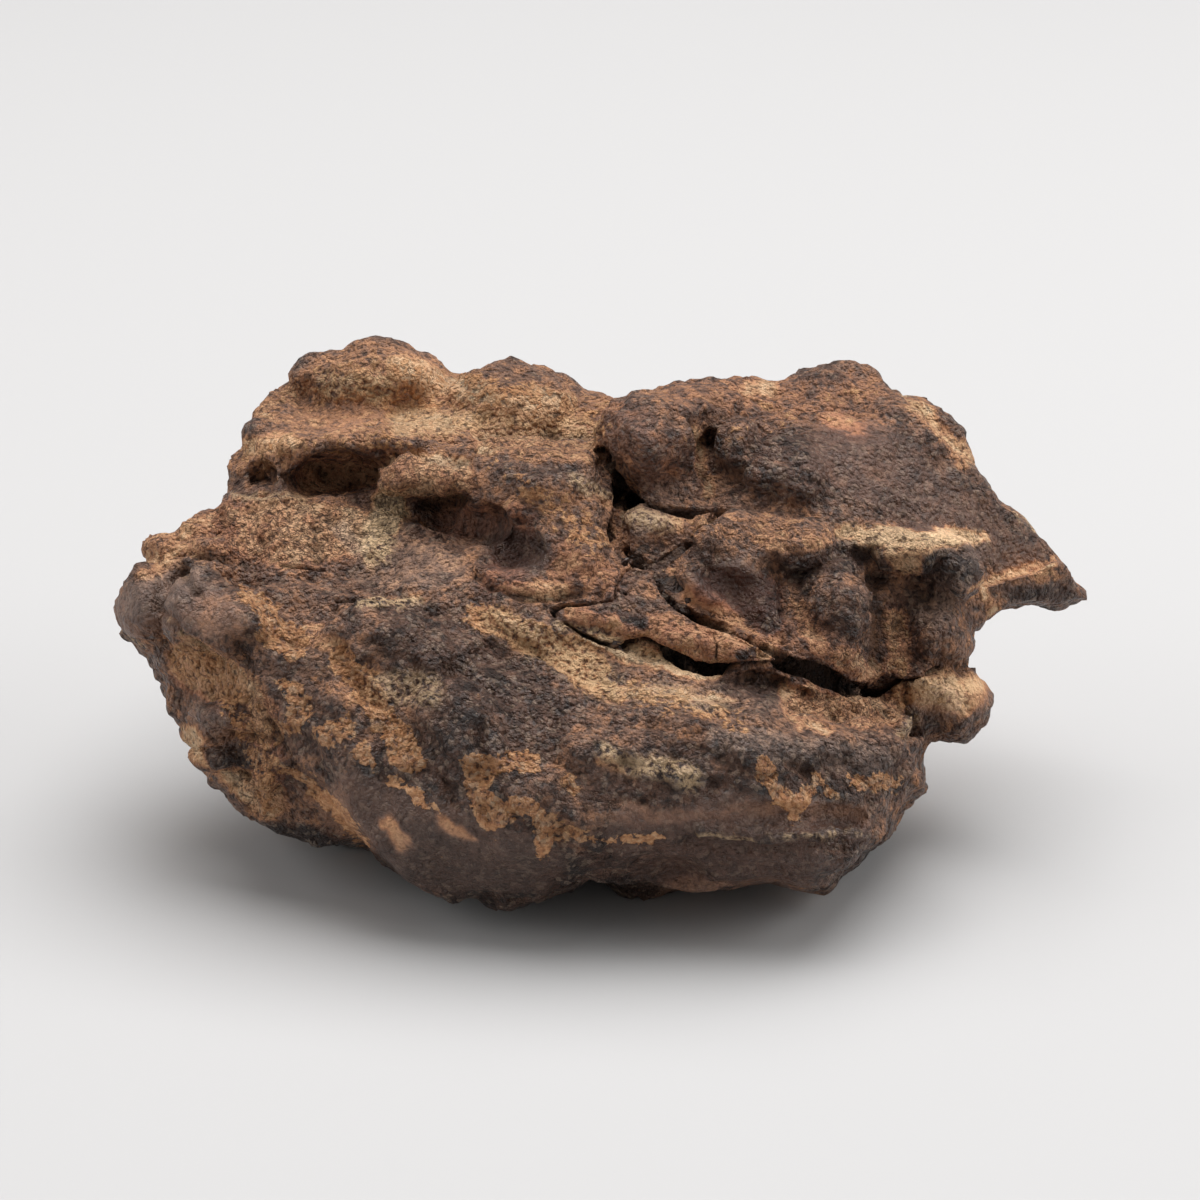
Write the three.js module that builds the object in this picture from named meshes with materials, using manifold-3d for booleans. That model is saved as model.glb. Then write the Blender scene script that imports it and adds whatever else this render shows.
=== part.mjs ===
// A weathered iron meteorite about 73 mm long: one knobbly lump of iron under a crust of its own rust.
// It is a single natural piece. Its skin is worked out from a field: rounded masses, lobes and ledges
// that melt into each other, with the hollows, clefts and broken faces taken out of them.
// Millimetres, +Z up, +Y away from the side that is shown. The origin is on the ground, under the middle.
import * as THREE from "three";
import Module from "manifold-3d";

// The stone is described as an eye in front of it sees it. Every place below is
// [across, up, towards the eye], measured on the plane through the stone's middle, along the sight lines.
const eyeDistance = 300;
const eyeElevation = THREE.MathUtils.degToRad(24);

const restHeight = -17.2; // level of the ground under the described middle
const skinCell = 1.72; // spacing of the points on the skin
const seatMelt = 1.2; // how far shapes run into each other where nothing else is said

const lift = Math.sin(eyeElevation);
const level = Math.cos(eyeElevation);

// A point of the stone's own frame, as the eye sees it.
function sight(x, y, z) {
  const toward = -y * level + z * lift;
  const spread = eyeDistance / (eyeDistance - toward);
  return [x * spread, (y * lift + z * level) * spread, toward];
}

// Joins two distances into one, rounded where they meet.
function melt(a, b, round) {
  const overlap = Math.max(round - Math.abs(a - b), 0) / round;
  return Math.min(a, b) - (overlap * overlap * overlap * round) / 6;
}

// An ellipsoid. turn is [roll in the picture, nod forward, swing to the side] in degrees.
function lobe(at, size, turn = [0, 0, 0]) {
  const turned = new THREE.Matrix4()
    .makeRotationFromEuler(
      new THREE.Euler(...[turn[1], turn[2], turn[0]].map(THREE.MathUtils.degToRad), "ZXY"),
    )
    .transpose();
  const p = new THREE.Vector3();
  return (u, v, w) => {
    p.set(u - at[0], v - at[1], w - at[2]).applyMatrix4(turned);
    const near = Math.hypot(p.x / size[0], p.y / size[1], p.z / size[2]);
    const slope = Math.hypot(p.x / size[0] ** 2, p.y / size[1] ** 2, p.z / size[2] ** 2);
    return slope ? (near * (near - 1)) / slope : -Math.min(...size);
  };
}

// A flat face through a point, that keeps what lies behind it. Its depth changes by
// leanAcross and leanUp for each millimetre across and up.
function face([u0, v0, w0], leanAcross, leanUp) {
  const steep = Math.hypot(1, leanAcross, leanUp);
  return (u, v, w) => (w - w0 - leanAcross * (u - u0) - leanUp * (v - v0)) / steep;
}

// The same, but keeping what lies in front of the face.
function rearFace(point, leanAcross, leanUp) {
  const front = face(point, leanAcross, leanUp);
  return (u, v, w) => -front(u, v, w);
}

// Distance from an outline in the picture, less than nothing inside it.
function outlined(points) {
  return (u, v) => {
    let nearest = Infinity;
    let inside = false;
    points.forEach(([ax, ay], i) => {
      const [bx, by] = points[(i + 1) % points.length];
      const along = ((u - ax) * (bx - ax) + (v - ay) * (by - ay)) / ((bx - ax) ** 2 + (by - ay) ** 2);
      const t = Math.min(Math.max(along, 0), 1);
      nearest = Math.min(nearest, Math.hypot(u - ax - t * (bx - ax), v - ay - t * (by - ay)));
      if (ay > v !== by > v && u < ((bx - ax) * (v - ay)) / (by - ay) + ax) inside = !inside;
    });
    return inside ? -nearest : nearest;
  };
}

// A mass with an outline as seen by the eye, held between faces, with all its edges rounded.
function mass(outline, faces, round) {
  const sides = [outlined(outline), ...faces];
  return (u, v, w) => sides.reduce((far, side) => -melt(-far, -side(u, v, w), round), -Infinity);
}

// A rounded ridge or gully that follows a line. Each point of the line is [across, up, towards, radius].
function strand(line) {
  return (u, v, w) => {
    let nearest = Infinity;
    for (let i = 0; i + 1 < line.length; i++) {
      const [ax, ay, az, ar] = line[i];
      const [bx, by, bz, br] = line[i + 1];
      const [dx, dy, dz] = [bx - ax, by - ay, bz - az];
      const along = ((u - ax) * dx + (v - ay) * dy + (w - az) * dz) / (dx * dx + dy * dy + dz * dz);
      const t = Math.min(Math.max(along, 0), 1);
      const gap = Math.hypot(u - ax - t * dx, v - ay - t * dy, w - az - t * dz);
      nearest = Math.min(nearest, gap - ar - t * (br - ar));
    }
    return nearest;
  };
}

// What the stone is built up from, from its middle outwards: [shape, how far it melts into the rest].
const grown = [
  // the hidden heart of the stone, which all the rest sits on
  [lobe([-3, -2, -6], [26, 12, 14]), 3],

  // front mass: the big dark face, the terrace above it, the blunt ridge and the hollow underside
  [mass(
    [[-26.4, -0.7], [-25.9, -3], [-24.4, -5.6], [-23, -8.9], [-20.4, -11.5], [-18.9, -13.7], [-16.7, -16.1],
      [-14.8, -17.8], [-11.9, -19.2], [-7, -20.2], [-5.9, -20], [-1.5, -18.4], [2.2, -18.4], [7.4, -19.1],
      [14.8, -18.5], [16.7, -18.5], [18.5, -17], [21.3, -14.2], [22.2, -12.8], [24.1, -11.1], [23.7, -8.9],
      [24.1, -7.4], [22, -4], [14, -2], [8, -0.4], [0, 2.4], [-8, 3.4], [-20, 3], [-26, 2.2]],
    [face([-11, -3.7, 11], 0.1, -0.5), face([3, -3.7, 11], -0.05, -1.2), face([3, -9.6, 15], 0.02, 0.05),
      face([3, -14, 14.2], 0, 0.45), face([3, -17.8, 10.5], 0, 1.6), face([-8.9, -16.3, 12.2], 0.1, 0.9),
      face([-22, -6, 9.6], 0.5, 0.05), face([14, -10, 14.2], -0.55, -0.1), face([22, -11, 8], -1.6, 0.2),
      face([18.5, -5.6, 6.8], -0.6, -1.8), face([-11, 1.9, 7.4], -0.05, -1.9),
      rearFace([0, -17.5, 0], 0, -2.25), rearFace([0, -10, -10], 0, -0.4)],
    1.2,
  ), 1.5],

  // lower left flank, turned away to the left
  [mass(
    [[-35.4, 0.7], [-34.2, -0.1], [-33, -1.1], [-32.3, -3.3], [-31.4, -5.6], [-31, -7.5], [-29.6, -8.7],
      [-28.7, -10.4], [-26.6, -12.2], [-24.4, -13.7], [-21.8, -15.2], [-18, -15.6], [-9, -14], [-9, 1],
      [-20, 4], [-32, 4]],
    [face([-27.4, -5.9, 4.6], 1.1, 0.1), face([-23, -13.4, 4], 0.4, 1.1), face([-22, -6, 8.8], 0.15, -0.4),
      rearFace([-20, -8, -14], -0.5, -0.5), rearFace([-20, -15.3, -2], -0.3, -2.25)],
    1.6,
  ), 1.2],

  // left end: two knobs in front and the smaller ones behind them
  [lobe([-29.6, 2.4, 3.4], [3.1, 3.6, 3.8], [10, 0, 0]), 0.7],
  [lobe([-26.8, 1.2, 6], [3.4, 2.6, 2.6], [-8, 0, 0]), 0.9],
  [lobe([-33.6, 2.8, -0.6], [2.5, 3.1, 3.6]), 0.6],
  [lobe([-32.4, 6.8, -5], [1.7, 1.5, 3]), 0.6],
  [lobe([-31.6, 5, -3.4], [2.4, 1.8, 3]), 0.6],
  [lobe([-29.6, 7.8, -5], [2.1, 1.8, 3]), 0.6],
  [lobe([-28.4, 5.2, -3], [3.4, 3, 5]), 1],

  // upper left hill: a roof that slopes towards the eye, then steps down to the ledge over the cave
  [mass(
    [[-27.5, 9.9], [-27.4, 11.3], [-27.6, 13.3], [-26.9, 14], [-25.5, 17.2], [-24.4, 18.3], [-22.4, 19.1],
      [-21.8, 20.6], [-20, 22.1], [-18.9, 22.5], [-16.7, 23.1], [-14.8, 22.7], [-12.4, 22.4], [-11, 21.6],
      [-9, 21.4], [-4, 20.5], [-2.4, 19.8], [-1.1, 18.7], [0.4, 18.4], [1.2, 17.6], [2.8, 14], [2, 3],
      [-14, 2], [-27, 3]],
    [face([-11, 18.1, -12], 0, -2), face([-18, 13.2, -4.4], -0.04, -0.45),
      face([-26.7, 12.6, -7.5], 1.4, -0.3),
      face([-3, 13, -5], -0.15, -1.1), rearFace([-12, 14, -23.5], 0.1, 0.2),
      rearFace([-24, 14, -16.5], -1, 0.3)],
    0.9,
  ), 1.2],
  // the rusty slope below the cave and the smooth saddle beside it
  [mass(
    [[-27.9, 10.6], [-16.4, 10.4], [-12, 8.4], [-8, 8], [-6, 2], [-27, 2], [-29, 5]],
    [face([-22.2, 8.1, -0.2], 0.12, -0.8), face([-13, 6, 1.6], 0.1, -0.75), rearFace([-20, 4, -10], 0, 0)],
    0.9,
  ), 0.9],
  [lobe([-17, 19.3, -14], [6, 3, 5]), 1.6],
  [lobe([-6.4, 17.6, -12], [5, 3, 5], [-8, 0, 0]), 1.6],
  // the knobs of the ledge over the cave, the rough nodule beside it, and the boulder
  [lobe([-14.9, 14.4, -4.6], [1.9, 1.3, 2]), 0.5],
  [lobe([-18.7, 14.8, -4.2], [2, 1.2, 2]), 0.5],
  [lobe([-22, 14.3, -4.4], [2.2, 1.3, 2]), 0.5],
  [lobe([-13, 11.8, -3.4], [3.7, 1.9, 3.2], [4, 0, 0]), 0.5],
  [lobe([-4.4, 9, -2.6], [6.6, 5.8, 7.4]), 0.7],
  [lobe([-8.6, 12.4, -2.4], [3.2, 2, 3.2], [20, 0, 0]), 0.8],
  [lobe([-6.2, 4.4, 2.2], [3.6, 1.8, 3.2], [4, 0, 0]), 0.6],
  [lobe([-1.6, 5.6, 2], [3.5, 2.7, 3.8], [-10, 0, 0]), 0.7],

  // right mass: the broad dark face with its straight edge, and the redder top beside it
  [mass(
    [[1.5, 17.5], [3.9, 18.7], [6.7, 19.1], [8.5, 19.5], [10.4, 19.1], [13.3, 19.2], [15.3, 19.6],
      [17.4, 20.4], [19.4, 21.2], [21, 19.8], [22.6, 18], [34.3, 6.1], [34.2, 4.8], [28, 3], [24, -3],
      [16, -4], [6, 2], [3, 8]],
    [face([10.4, 17, -5.4], -0.02, -1.3), face([12.5, 11.5, 0.2], -0.05, -0.55),
      face([23.7, 11.9, -3], -0.5, -0.4),
      face([31, 7, -6.4], -0.8, -0.1), rearFace([16, 6, -17], 0.35, 0.3)],
    0.8,
  ), 1],
  // the slab that shows behind the straight edge
  [mass(
    [[22, 18.1], [24.1, 17.8], [26, 16.4], [26.8, 15.6], [27.6, 13.1], [29, 10], [24, 10], [20, 16]],
    [face([25, 15, -8], -0.3, -0.2), rearFace([25, 14, -15], 0, 0)],
    0.5,
  ), 0.4],
  // the knob by the cleft and the lump beside it
  [lobe([4, 14.4, -3.6], [4.3, 4.1, 6], [6, 0, 0]), 0.9],
  [lobe([6.6, 16.4, -6], [4.6, 2.8, 5]), 0.9],
  [lobe([9.8, 14.4, -1.4], [1.9, 2.4, 2.6]), 0.6],
  [lobe([13.6, 12, -1.6], [4, 3, 3.4], [-12, 0, 0]), 0.7],
  // lower bumps: the paw beside the cleft, the dark pillar, and their common foot
  [lobe([9.4, 6, 0.4], [4.4, 3.4, 5.4], [24, 0, 0]), 0.7],
  [lobe([7.8, 3.6, 2], [2.9, 2.2, 4], [-30, 0, 0]), 0.6],
  [lobe([14, 6.8, 1.6], [4, 2.2, 4], [-8, 0, 0]), 0.6],
  [lobe([17.6, 2.6, 1.8], [3.5, 3.8, 5.2], [-6, 0, 0]), 0.6],
  [lobe([16.6, -1, 2], [3.8, 2.4, 4.8], [-20, 0, 0]), 0.6],
  [lobe([12.6, 1, 2], [3, 2.2, 4.4], [-24, 0, 0]), 0.6],
  // the pale spongy lens under the broad face and the dark bump at its end
  [lobe([22.4, 7, -1], [5.6, 1.6, 3.8], [-2, 0, 0]), 0.5],
  [lobe([26, 5, -1.6], [2.7, 2.1, 3.6]), 0.6],
  // the sharp corner: the thin layer below the broad face, drawn out into a tail
  [mass(
    [[26.6, 3.1], [30.4, 4.8], [34.3, 6], [36, 4.2], [37.4, 2.8], [34.4, 1.9], [33, 1.9], [31.8, 2.3],
      [29.5, 1.8], [28.5, 1.2], [25, -0.5]],
    [face([31, 3.7, -4.4], -0.5, 0.2), rearFace([31, 0, -10], 0, 0)],
    0.4,
  ), 0.4],
  // right end under the corner: a dark column, and lumps that step down to the front ridge
  [lobe([24.6, 0.6, -2.6], [3.2, 3.2, 4.8]), 0.6],
  [lobe([24, -3, -2.4], [3.8, 2.4, 4.4]), 0.8],
  [lobe([22, -5, -3], [3.4, 3.2, 4]), 0.8],
  [lobe([26, -4.8, -3.6], [2.9, 2.5, 4]), 0.6],
  [lobe([22.6, -6.5, 5.4], [1.1, 1.1, 1.4]), 0.4],
  [lobe([23.4, -10.2, 4.6], [1.1, 1.4, 2]), 0.5],

  // what is wedged in the cleft between the masses: the long sliver and the round pebble
  [strand([[-2.6, 2.4, 4.6, 0.9], [1.3, 1.7, 5.4, 1.5], [5.9, 0, 6.4, 1.7], [10.4, -0.8, 7, 1.5],
    [13.3, -1.6, 7, 0.9]]), 0.4],
  [lobe([4.1, 8.4, -0.6], [2.6, 1.7, 2.2], [4, 0, 0]), 0.3],

  // relief of the front face: a dark swell at its upper left, the long bulge of the ridge, the keel
  [lobe([-14, -1, 6.4], [7, 3, 4.4], [-14, 0, 0]), 0.9],
  [lobe([-9, -7.6, 10.2], [6, 4, 4.4], [-30, 0, 0]), 1.4],
  [lobe([-17.6, -9, 8], [3.6, 7, 4.4], [28, 0, 0]), 1.2],
  [strand([[-2, -8.2, 12.8, 1.6], [4, -9.6, 13.4, 2.1], [10.4, -9.2, 12.6, 2], [17, -8.4, 10.4, 1.9],
    [22, -9, 6.4, 1.6]]), 1],
  [strand([[3, -16.6, 9.8, 1.8], [11, -16.4, 9.8, 2], [18, -15.4, 7.4, 1.8]]), 1],
  // ledges of the left flank
  [lobe([-28.2, -5.7, 4.6], [2.6, 1.4, 2.2], [-4, 0, 0]), 0.5],
  [lobe([-28.4, -8.8, 3.6], [2.4, 1.4, 2], [-10, 0, 0]), 0.5],
  [lobe([-24.6, -10, 6], [1.4, 1.4, 1.6]), 0.5],

  // back: hidden from the front, made of the same kind of knobs
  [lobe([-13, 0, -12], [13, 11, 11]), 2],
  [lobe([8, -1, -11], [13, 10.4, 10]), 2],
  [lobe([-3, 4, -17], [11, 9, 7], [-20, 0, 0]), 1.6],
  [lobe([17, 3, -10], [9, 8, 7], [10, 0, 0]), 1.6],
  [lobe([-22, 1, -9], [8, 8, 8]), 1.6],
  [lobe([-16, 8, -19], [8, 5, 5], [14, 0, 0]), 1.2],
  [lobe([7, 8, -15], [6, 5, 6]), 1.2],
  [lobe([-8, -6, -20], [6, 5, 5], [5, 0, 0]), 1.2],
  [lobe([14, -4, -16], [6, 5, 5], [-12, 0, 0]), 1.2],

  // the low points that it stands on
  [lobe([4, -14.3, 0.2], [6.5, 5, 5.2], [0, 24, 0]), 1.5],
  [lobe([-17, -10.4, -6.9], [6.5, 5.4, 5.6], [0, 24, 0]), 1.5],
  [lobe([10, -5.2, -17.2], [6.5, 5.4, 5.6], [0, 24, 0]), 1.5],
];

// What time and breakage have taken out of it: [shape, how soft its rim is].
const lost = [
  // the cave under the left ledge and the small hole beside it
  [lobe([-19.4, 12.4, -3], [4.2, 1.7, 4.4], [8, 0, 0]), 0.5],
  [lobe([-25.2, 12.4, -5.4], [1.1, 0.9, 2]), 0.3],
  // the dark recess on the left of the boulder, and the hollow that it runs out into
  [lobe([-10.4, 8.6, 2.4], [3, 1.4, 3.2], [-8, 0, 0]), 0.5],
  [lobe([-7, 6.9, 5.2], [3, 1.9, 2.6], [-10, 0, 0]), 0.7],
  // the cleft between the two masses and the gap under the right one
  [strand([[0.4, 16.4, -7, 0.6], [0, 14, -3, 0.6], [1.3, 12.2, 0.6, 0.7], [1.9, 10.2, 1.2, 0.7],
    [1.4, 8.4, 2, 0.7], [1.7, 5.8, 3.6, 0.7], [3.8, 5.4, 2.4, 1]]), 0.4],
  [strand([[3.6, 10.2, 2.4, 0.6], [6.4, 9.6, 2.2, 0.8], [9.2, 9.6, 2.4, 0.5]]), 0.4],
  [strand([[3.8, 5.4, 2.8, 1], [4.9, 3.2, 5.4, 0.7], [7.4, 1.5, 7, 0.6], [10.4, 1.1, 7.6, 0.6],
    [13.6, -0.8, 8, 0.7]]), 0.3],
  [strand([[-3.4, 2.2, 5, 0.5], [1.1, -0.2, 7.2, 0.6], [5.9, -1.6, 8.4, 0.6], [12, -2.2, 9, 0.7]]), 0.3],
  [strand([[-10, 3.1, 3.8, 0.4], [-6, 3, 4.8, 0.4], [0, 3.1, 5, 0.4], [1.7, 5.6, 4.4, 0.5]]), 0.3],
  [strand([[13.7, -2, 7.6, 0.9], [16.4, -2.9, 7, 1.1], [19.4, -3.9, 5, 0.9], [22, -3.2, 3, 0.6]]), 0.4],
  // the rusty trough behind the front ridge
  [strand([[14.6, -4.8, 7.8, 0.9], [18, -5.2, 6.6, 1.3], [22, -5, 3.6, 1]]), 0.7],
  // the red hollow in the paw, the step under the lens and the waist under the corner
  [lobe([11.2, 3, 8], [1.3, 2.6, 3], [-10, 0, 0]), 0.5],
  [strand([[19.4, 4.6, 4, 0.8], [22.4, 4.2, 3, 1], [24.6, 3, 2.8, 0.6]]), 0.5],
  [strand([[21.4, 3, 4.6, 0.7], [22, -1, 4, 0.8], [22.6, -3.4, 3.4, 0.6]]), 0.5],
  [strand([[27.4, 1.4, 0.6, 0.7], [29.4, 2.2, -3, 0.5]]), 0.4],
  [strand([[24.4, -2.6, 2.6, 0.6], [28, -2.4, -1, 0.6]]), 0.4],
  // the gully down the front face and the edge of the flank beside it
  [strand([[-20, 0, 9, 0.9], [-18.5, -2.2, 10.2, 1], [-16.2, -4.8, 11.6, 1.1],
    [-13.8, -8.6, 13.6, 0.9]]), 0.6],
  [strand([[-25.4, -1.6, 9, 0.6], [-23.6, -6, 9.6, 0.7], [-20, -11, 11, 0.6]]), 0.6],
  [strand([[-27.2, -7.2, 6.4, 0.6], [-30, -7.4, 4, 0.7]]), 0.4],
  // the hollow under the ridge's right half and the groove along the keel
  [lobe([3.6, -18.4, 13], [5, 1.8, 5], [4, 0, 0]), 0.8],
  [strand([[3, -13.8, 15.2, 0.9], [9, -13.2, 15.6, 1], [15, -13.2, 14, 0.9], [19.4, -13.2, 11.4, 0.7]]), 0.8],
  // thumbprint hollows on the back
  [lobe([2, 8, -27], [6, 5, 6]), 1.2],
  [lobe([-20, -3, -25], [7, 5, 7]), 1.2],
  [lobe([22, -3, -20], [6, 5, 6]), 1.2],
  [lobe([2, -10, -26], [6, 4, 6]), 1.2],
  [lobe([-29, 2, -14], [5, 5, 5]), 1],
];

// Even lattice noise from -1 to 1, the same on every run.
function latticeNoise(x, y, z) {
  const [i, j, k] = [x, y, z].map(Math.floor);
  const fade = (t) => t * t * t * (t * (t * 6 - 15) + 10);
  const [fx, fy, fz] = [fade(x - i), fade(y - j), fade(z - k)];
  let sum = 0;
  for (let corner = 0; corner < 8; corner++) {
    const [a, b, c] = [corner & 1, (corner >> 1) & 1, corner >> 2];
    const raw = Math.sin((i + a) * 127.1 + (j + b) * 311.7 + (k + c) * 74.7) * 43758.5453;
    const share = (a ? fx : 1 - fx) * (b ? fy : 1 - fy) * (c ? fz : 1 - fz);
    sum += share * (2 * (raw - Math.floor(raw)) - 1);
  }
  return sum;
}

// Signed distance to the skin, in millimetres, at a point of the stone's own frame.
function stone(x, y, z) {
  const seen = sight(x, y, z);
  let depth = Infinity;
  for (const [shape, soft] of grown) depth = melt(depth, shape(...seen), soft || seatMelt);
  for (const [shape, soft] of lost) depth = -melt(-depth, shape(...seen), soft || seatMelt);
  const swells = 0.6 * latticeNoise(x / 5.5, y / 5.5, z / 5.5);
  const lumps = 0.35 * latticeNoise(x / 2.9, y / 2.9, z / 2.9);
  const hidden = THREE.MathUtils.smoothstep(y, 17, 27);
  return depth + swells + lumps + hidden * (1.6 * latticeNoise(x / 9, y / 9 + 4, z / 8) + 0.4);
}

// Wraps a skin round a field: one point in each cell that the surface crosses, pulled onto the
// surface, and two triangles across each lattice edge that it crosses.
function wrapSkin(field, low, high, cell) {
  const count = high.map((h, axis) => Math.ceil((h - low[axis]) / cell) + 1);
  const stride = [1, count[0], count[0] * count[1]];
  const place = (i, j, k) => [low[0] + i * cell, low[1] + j * cell, low[2] + k * cell];
  const value = new Float32Array(count[0] * count[1] * count[2]).fill(9);
  const each = (visit, inset) => {
    for (let k = inset; k < count[2] - 1; k++)
      for (let j = inset; j < count[1] - 1; j++)
        for (let i = inset; i < count[0] - 1; i++) visit(i, j, k, i + j * stride[1] + k * stride[2]);
  };
  each((i, j, k, n) => (value[n] = field(...place(i, j, k))), 0);
  // corners that are inside but only touch diagonally would pinch the skin, so the gap is filled
  const squares = [[0, 1], [1, 2], [2, 0]].map(([a, b]) => [0, stride[a], stride[b], stride[a] + stride[b]]);
  const cube = [...Array(8).keys()].map((c) => (c & 1) + ((c >> 1) & 1) * stride[1] + (c >> 2) * stride[2]);
  const fill = (m) => (value[m] = Math.min(value[m], -0.05));
  for (let filled = 1; filled; ) {
    filled = 0;
    each((i, j, k, n) => {
      for (const square of squares) {
        const inside = square.map((m) => value[n + m] < 0);
        if (inside[0] === inside[3] && inside[1] === inside[2] && inside[0] !== inside[1]) {
          for (const m of square) fill(n + m);
          filled++;
        }
      }
      for (let c = 0; c < 4; c++) {
        const near = value[n + cube[c]] < 0;
        const matches = cube.every((m, d) => value[n + m] < 0 === (d === c || d === 7 - c ? near : !near));
        if (matches) {
          for (const m of cube) fill(n + m);
          filled++;
        }
      }
    }, 0);
  }
  // bubbles inside the stone are filled, and specks beside it are dropped
  const keepReached = (seed, isKind, other) => {
    const reached = new Uint8Array(value.length);
    const queue = [seed];
    reached[seed] = 1;
    while (queue.length) {
      const n = queue.pop();
      for (const s of stride)
        for (const m of [n - s, n + s])
          if (m >= 0 && m < value.length && !reached[m] && isKind(value[m])) {
            reached[m] = 1;
            queue.push(m);
          }
    }
    value.forEach((v, m) => {
      if (isKind(v) && !reached[m]) value[m] = other;
    });
  };
  const heart = count.map((c, axis) => Math.round(-low[axis] / cell) * stride[axis]).reduce((a, b) => a + b);
  keepReached(0, (v) => v >= 0, -0.05);
  keepReached(heart, (v) => v < 0, 0.05);
  const points = [];
  const pointOf = new Map();
  const step = cell / 20;
  const onSkin = (p) => {
    const start = [...p];
    for (let turn = 0; turn < 3; turn++) {
      const here = field(...p);
      const slope = [0, 1, 2].map((axis) => {
        const beside = [...p];
        beside[axis] += step;
        return (field(...beside) - here) / step;
      });
      const steep = Math.max(slope[0] ** 2 + slope[1] ** 2 + slope[2] ** 2, 0.25);
      for (let axis = 0; axis < 3; axis++) {
        const moved = p[axis] - (here * slope[axis]) / steep;
        p[axis] = Math.min(Math.max(moved, start[axis] - cell * 0.4), start[axis] + cell * 0.4);
      }
    }
    return p;
  };
  each((i, j, k, n) => {
    const sum = [0, 0, 0];
    let crossings = 0;
    for (let axis = 0; axis < 3; axis++) {
      const [b, c] = [(axis + 1) % 3, (axis + 2) % 3];
      for (let side = 0; side < 4; side++) {
        const start = [0, 0, 0];
        start[b] = side & 1;
        start[c] = side >> 1;
        const m = n + start[0] + start[1] * stride[1] + start[2] * stride[2];
        const [here, next] = [value[m], value[m + stride[axis]]];
        if (here < 0 === next < 0) continue;
        start[axis] = here / (here - next);
        place(i + start[0], j + start[1], k + start[2]).forEach((x, d) => (sum[d] += x));
        crossings++;
      }
    }
    if (!crossings) return;
    pointOf.set(n, points.length);
    points.push(onSkin(sum.map((x) => x / crossings)));
  }, 0);
  const faces = [];
  each((i, j, k, n) => {
    for (let axis = 0; axis < 3; axis++) {
      const inside = value[n] < 0;
      if (inside === value[n + stride[axis]] < 0) continue;
      const [b, c] = [(axis + 1) % 3, (axis + 2) % 3];
      const ring = [n, n - stride[b], n - stride[b] - stride[c], n - stride[c]].map((m) => pointOf.get(m));
      if (!inside) ring.reverse();
      faces.push(ring[0], ring[1], ring[2], ring[0], ring[2], ring[3]);
    }
  }, 1);
  return { points, faces };
}

const wasm = await Module();
wasm.setup();

// A closed skin as a solid that can be joined and cut.
function solidOf({ points, faces }) {
  return new wasm.Manifold(
    new wasm.Mesh({
      numProp: 3,
      vertProperties: new Float32Array(points.flat()),
      triVerts: new Uint32Array(faces),
    }),
  );
}

// A three.js geometry as such a solid.
function solidOfGeometry(geometry) {
  const position = geometry.getAttribute("position");
  const points = [];
  const numbers = new Map();
  const numberOf = Array.from({ length: position.count }, (_, i) => {
    const point = [position.getX(i), position.getY(i), position.getZ(i)];
    const key = point.map((x) => x.toFixed(4)).join();
    if (!numbers.has(key)) {
      numbers.set(key, points.length);
      points.push(point);
    }
    return numbers.get(key);
  });
  return solidOf({ points, faces: [...geometry.index.array].map((i) => numberOf[i]) });
}

const reach = [42, 32, 30];
const rough = solidOf(wrapSkin(stone, reach.map((x) => -x), reach, skinCell));

// The ground: the stone's low points are worn flat where it stands.
const groundBlock = new THREE.BoxGeometry(200, 200, 40).translate(0, 0, restHeight - 20);
const body = rough.subtract(solidOfGeometry(groundBlock));

const { vertProperties, triVerts } = body.getMesh();
const geometry = new THREE.BufferGeometry()
  .setAttribute("position", new THREE.BufferAttribute(vertProperties, 3))
  .setIndex(new THREE.BufferAttribute(triVerts, 1));
geometry.computeBoundingBox();
const middle = geometry.boundingBox.getCenter(new THREE.Vector3());
export const shift = [-middle.x, -middle.y, -restHeight];
geometry.translate(...shift);
geometry.computeVertexNormals();

const crust = new THREE.MeshStandardMaterial({ color: 0x4a3a30, roughness: 0.75, metalness: 0.15 });
const meteorite = new THREE.Mesh(geometry, crust);
meteorite.name = "meteorite";

const group = new THREE.Group();
group.add(meteorite);
export default group;
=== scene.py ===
import math

import bmesh
import bpy
import numpy as np
import openvdb
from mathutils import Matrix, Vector


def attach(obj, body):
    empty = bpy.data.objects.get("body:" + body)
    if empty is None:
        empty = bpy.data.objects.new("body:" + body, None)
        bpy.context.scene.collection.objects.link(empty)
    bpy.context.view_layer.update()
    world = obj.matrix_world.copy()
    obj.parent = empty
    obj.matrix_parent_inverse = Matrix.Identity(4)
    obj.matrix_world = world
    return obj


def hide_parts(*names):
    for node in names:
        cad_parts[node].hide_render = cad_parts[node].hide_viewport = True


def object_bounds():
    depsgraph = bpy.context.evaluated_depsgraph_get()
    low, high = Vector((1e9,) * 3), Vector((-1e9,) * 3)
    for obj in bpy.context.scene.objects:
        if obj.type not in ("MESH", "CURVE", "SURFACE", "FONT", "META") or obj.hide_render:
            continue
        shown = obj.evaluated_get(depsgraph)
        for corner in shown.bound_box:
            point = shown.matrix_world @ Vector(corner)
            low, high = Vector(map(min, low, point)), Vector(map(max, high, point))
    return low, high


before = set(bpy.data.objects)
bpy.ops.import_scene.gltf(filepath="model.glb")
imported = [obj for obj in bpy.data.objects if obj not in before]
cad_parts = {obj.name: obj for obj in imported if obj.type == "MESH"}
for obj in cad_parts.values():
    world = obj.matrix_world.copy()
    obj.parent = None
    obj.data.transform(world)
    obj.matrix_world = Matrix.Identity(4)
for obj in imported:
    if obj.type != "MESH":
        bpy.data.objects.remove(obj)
cad_box = [list(corner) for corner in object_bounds()]

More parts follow.
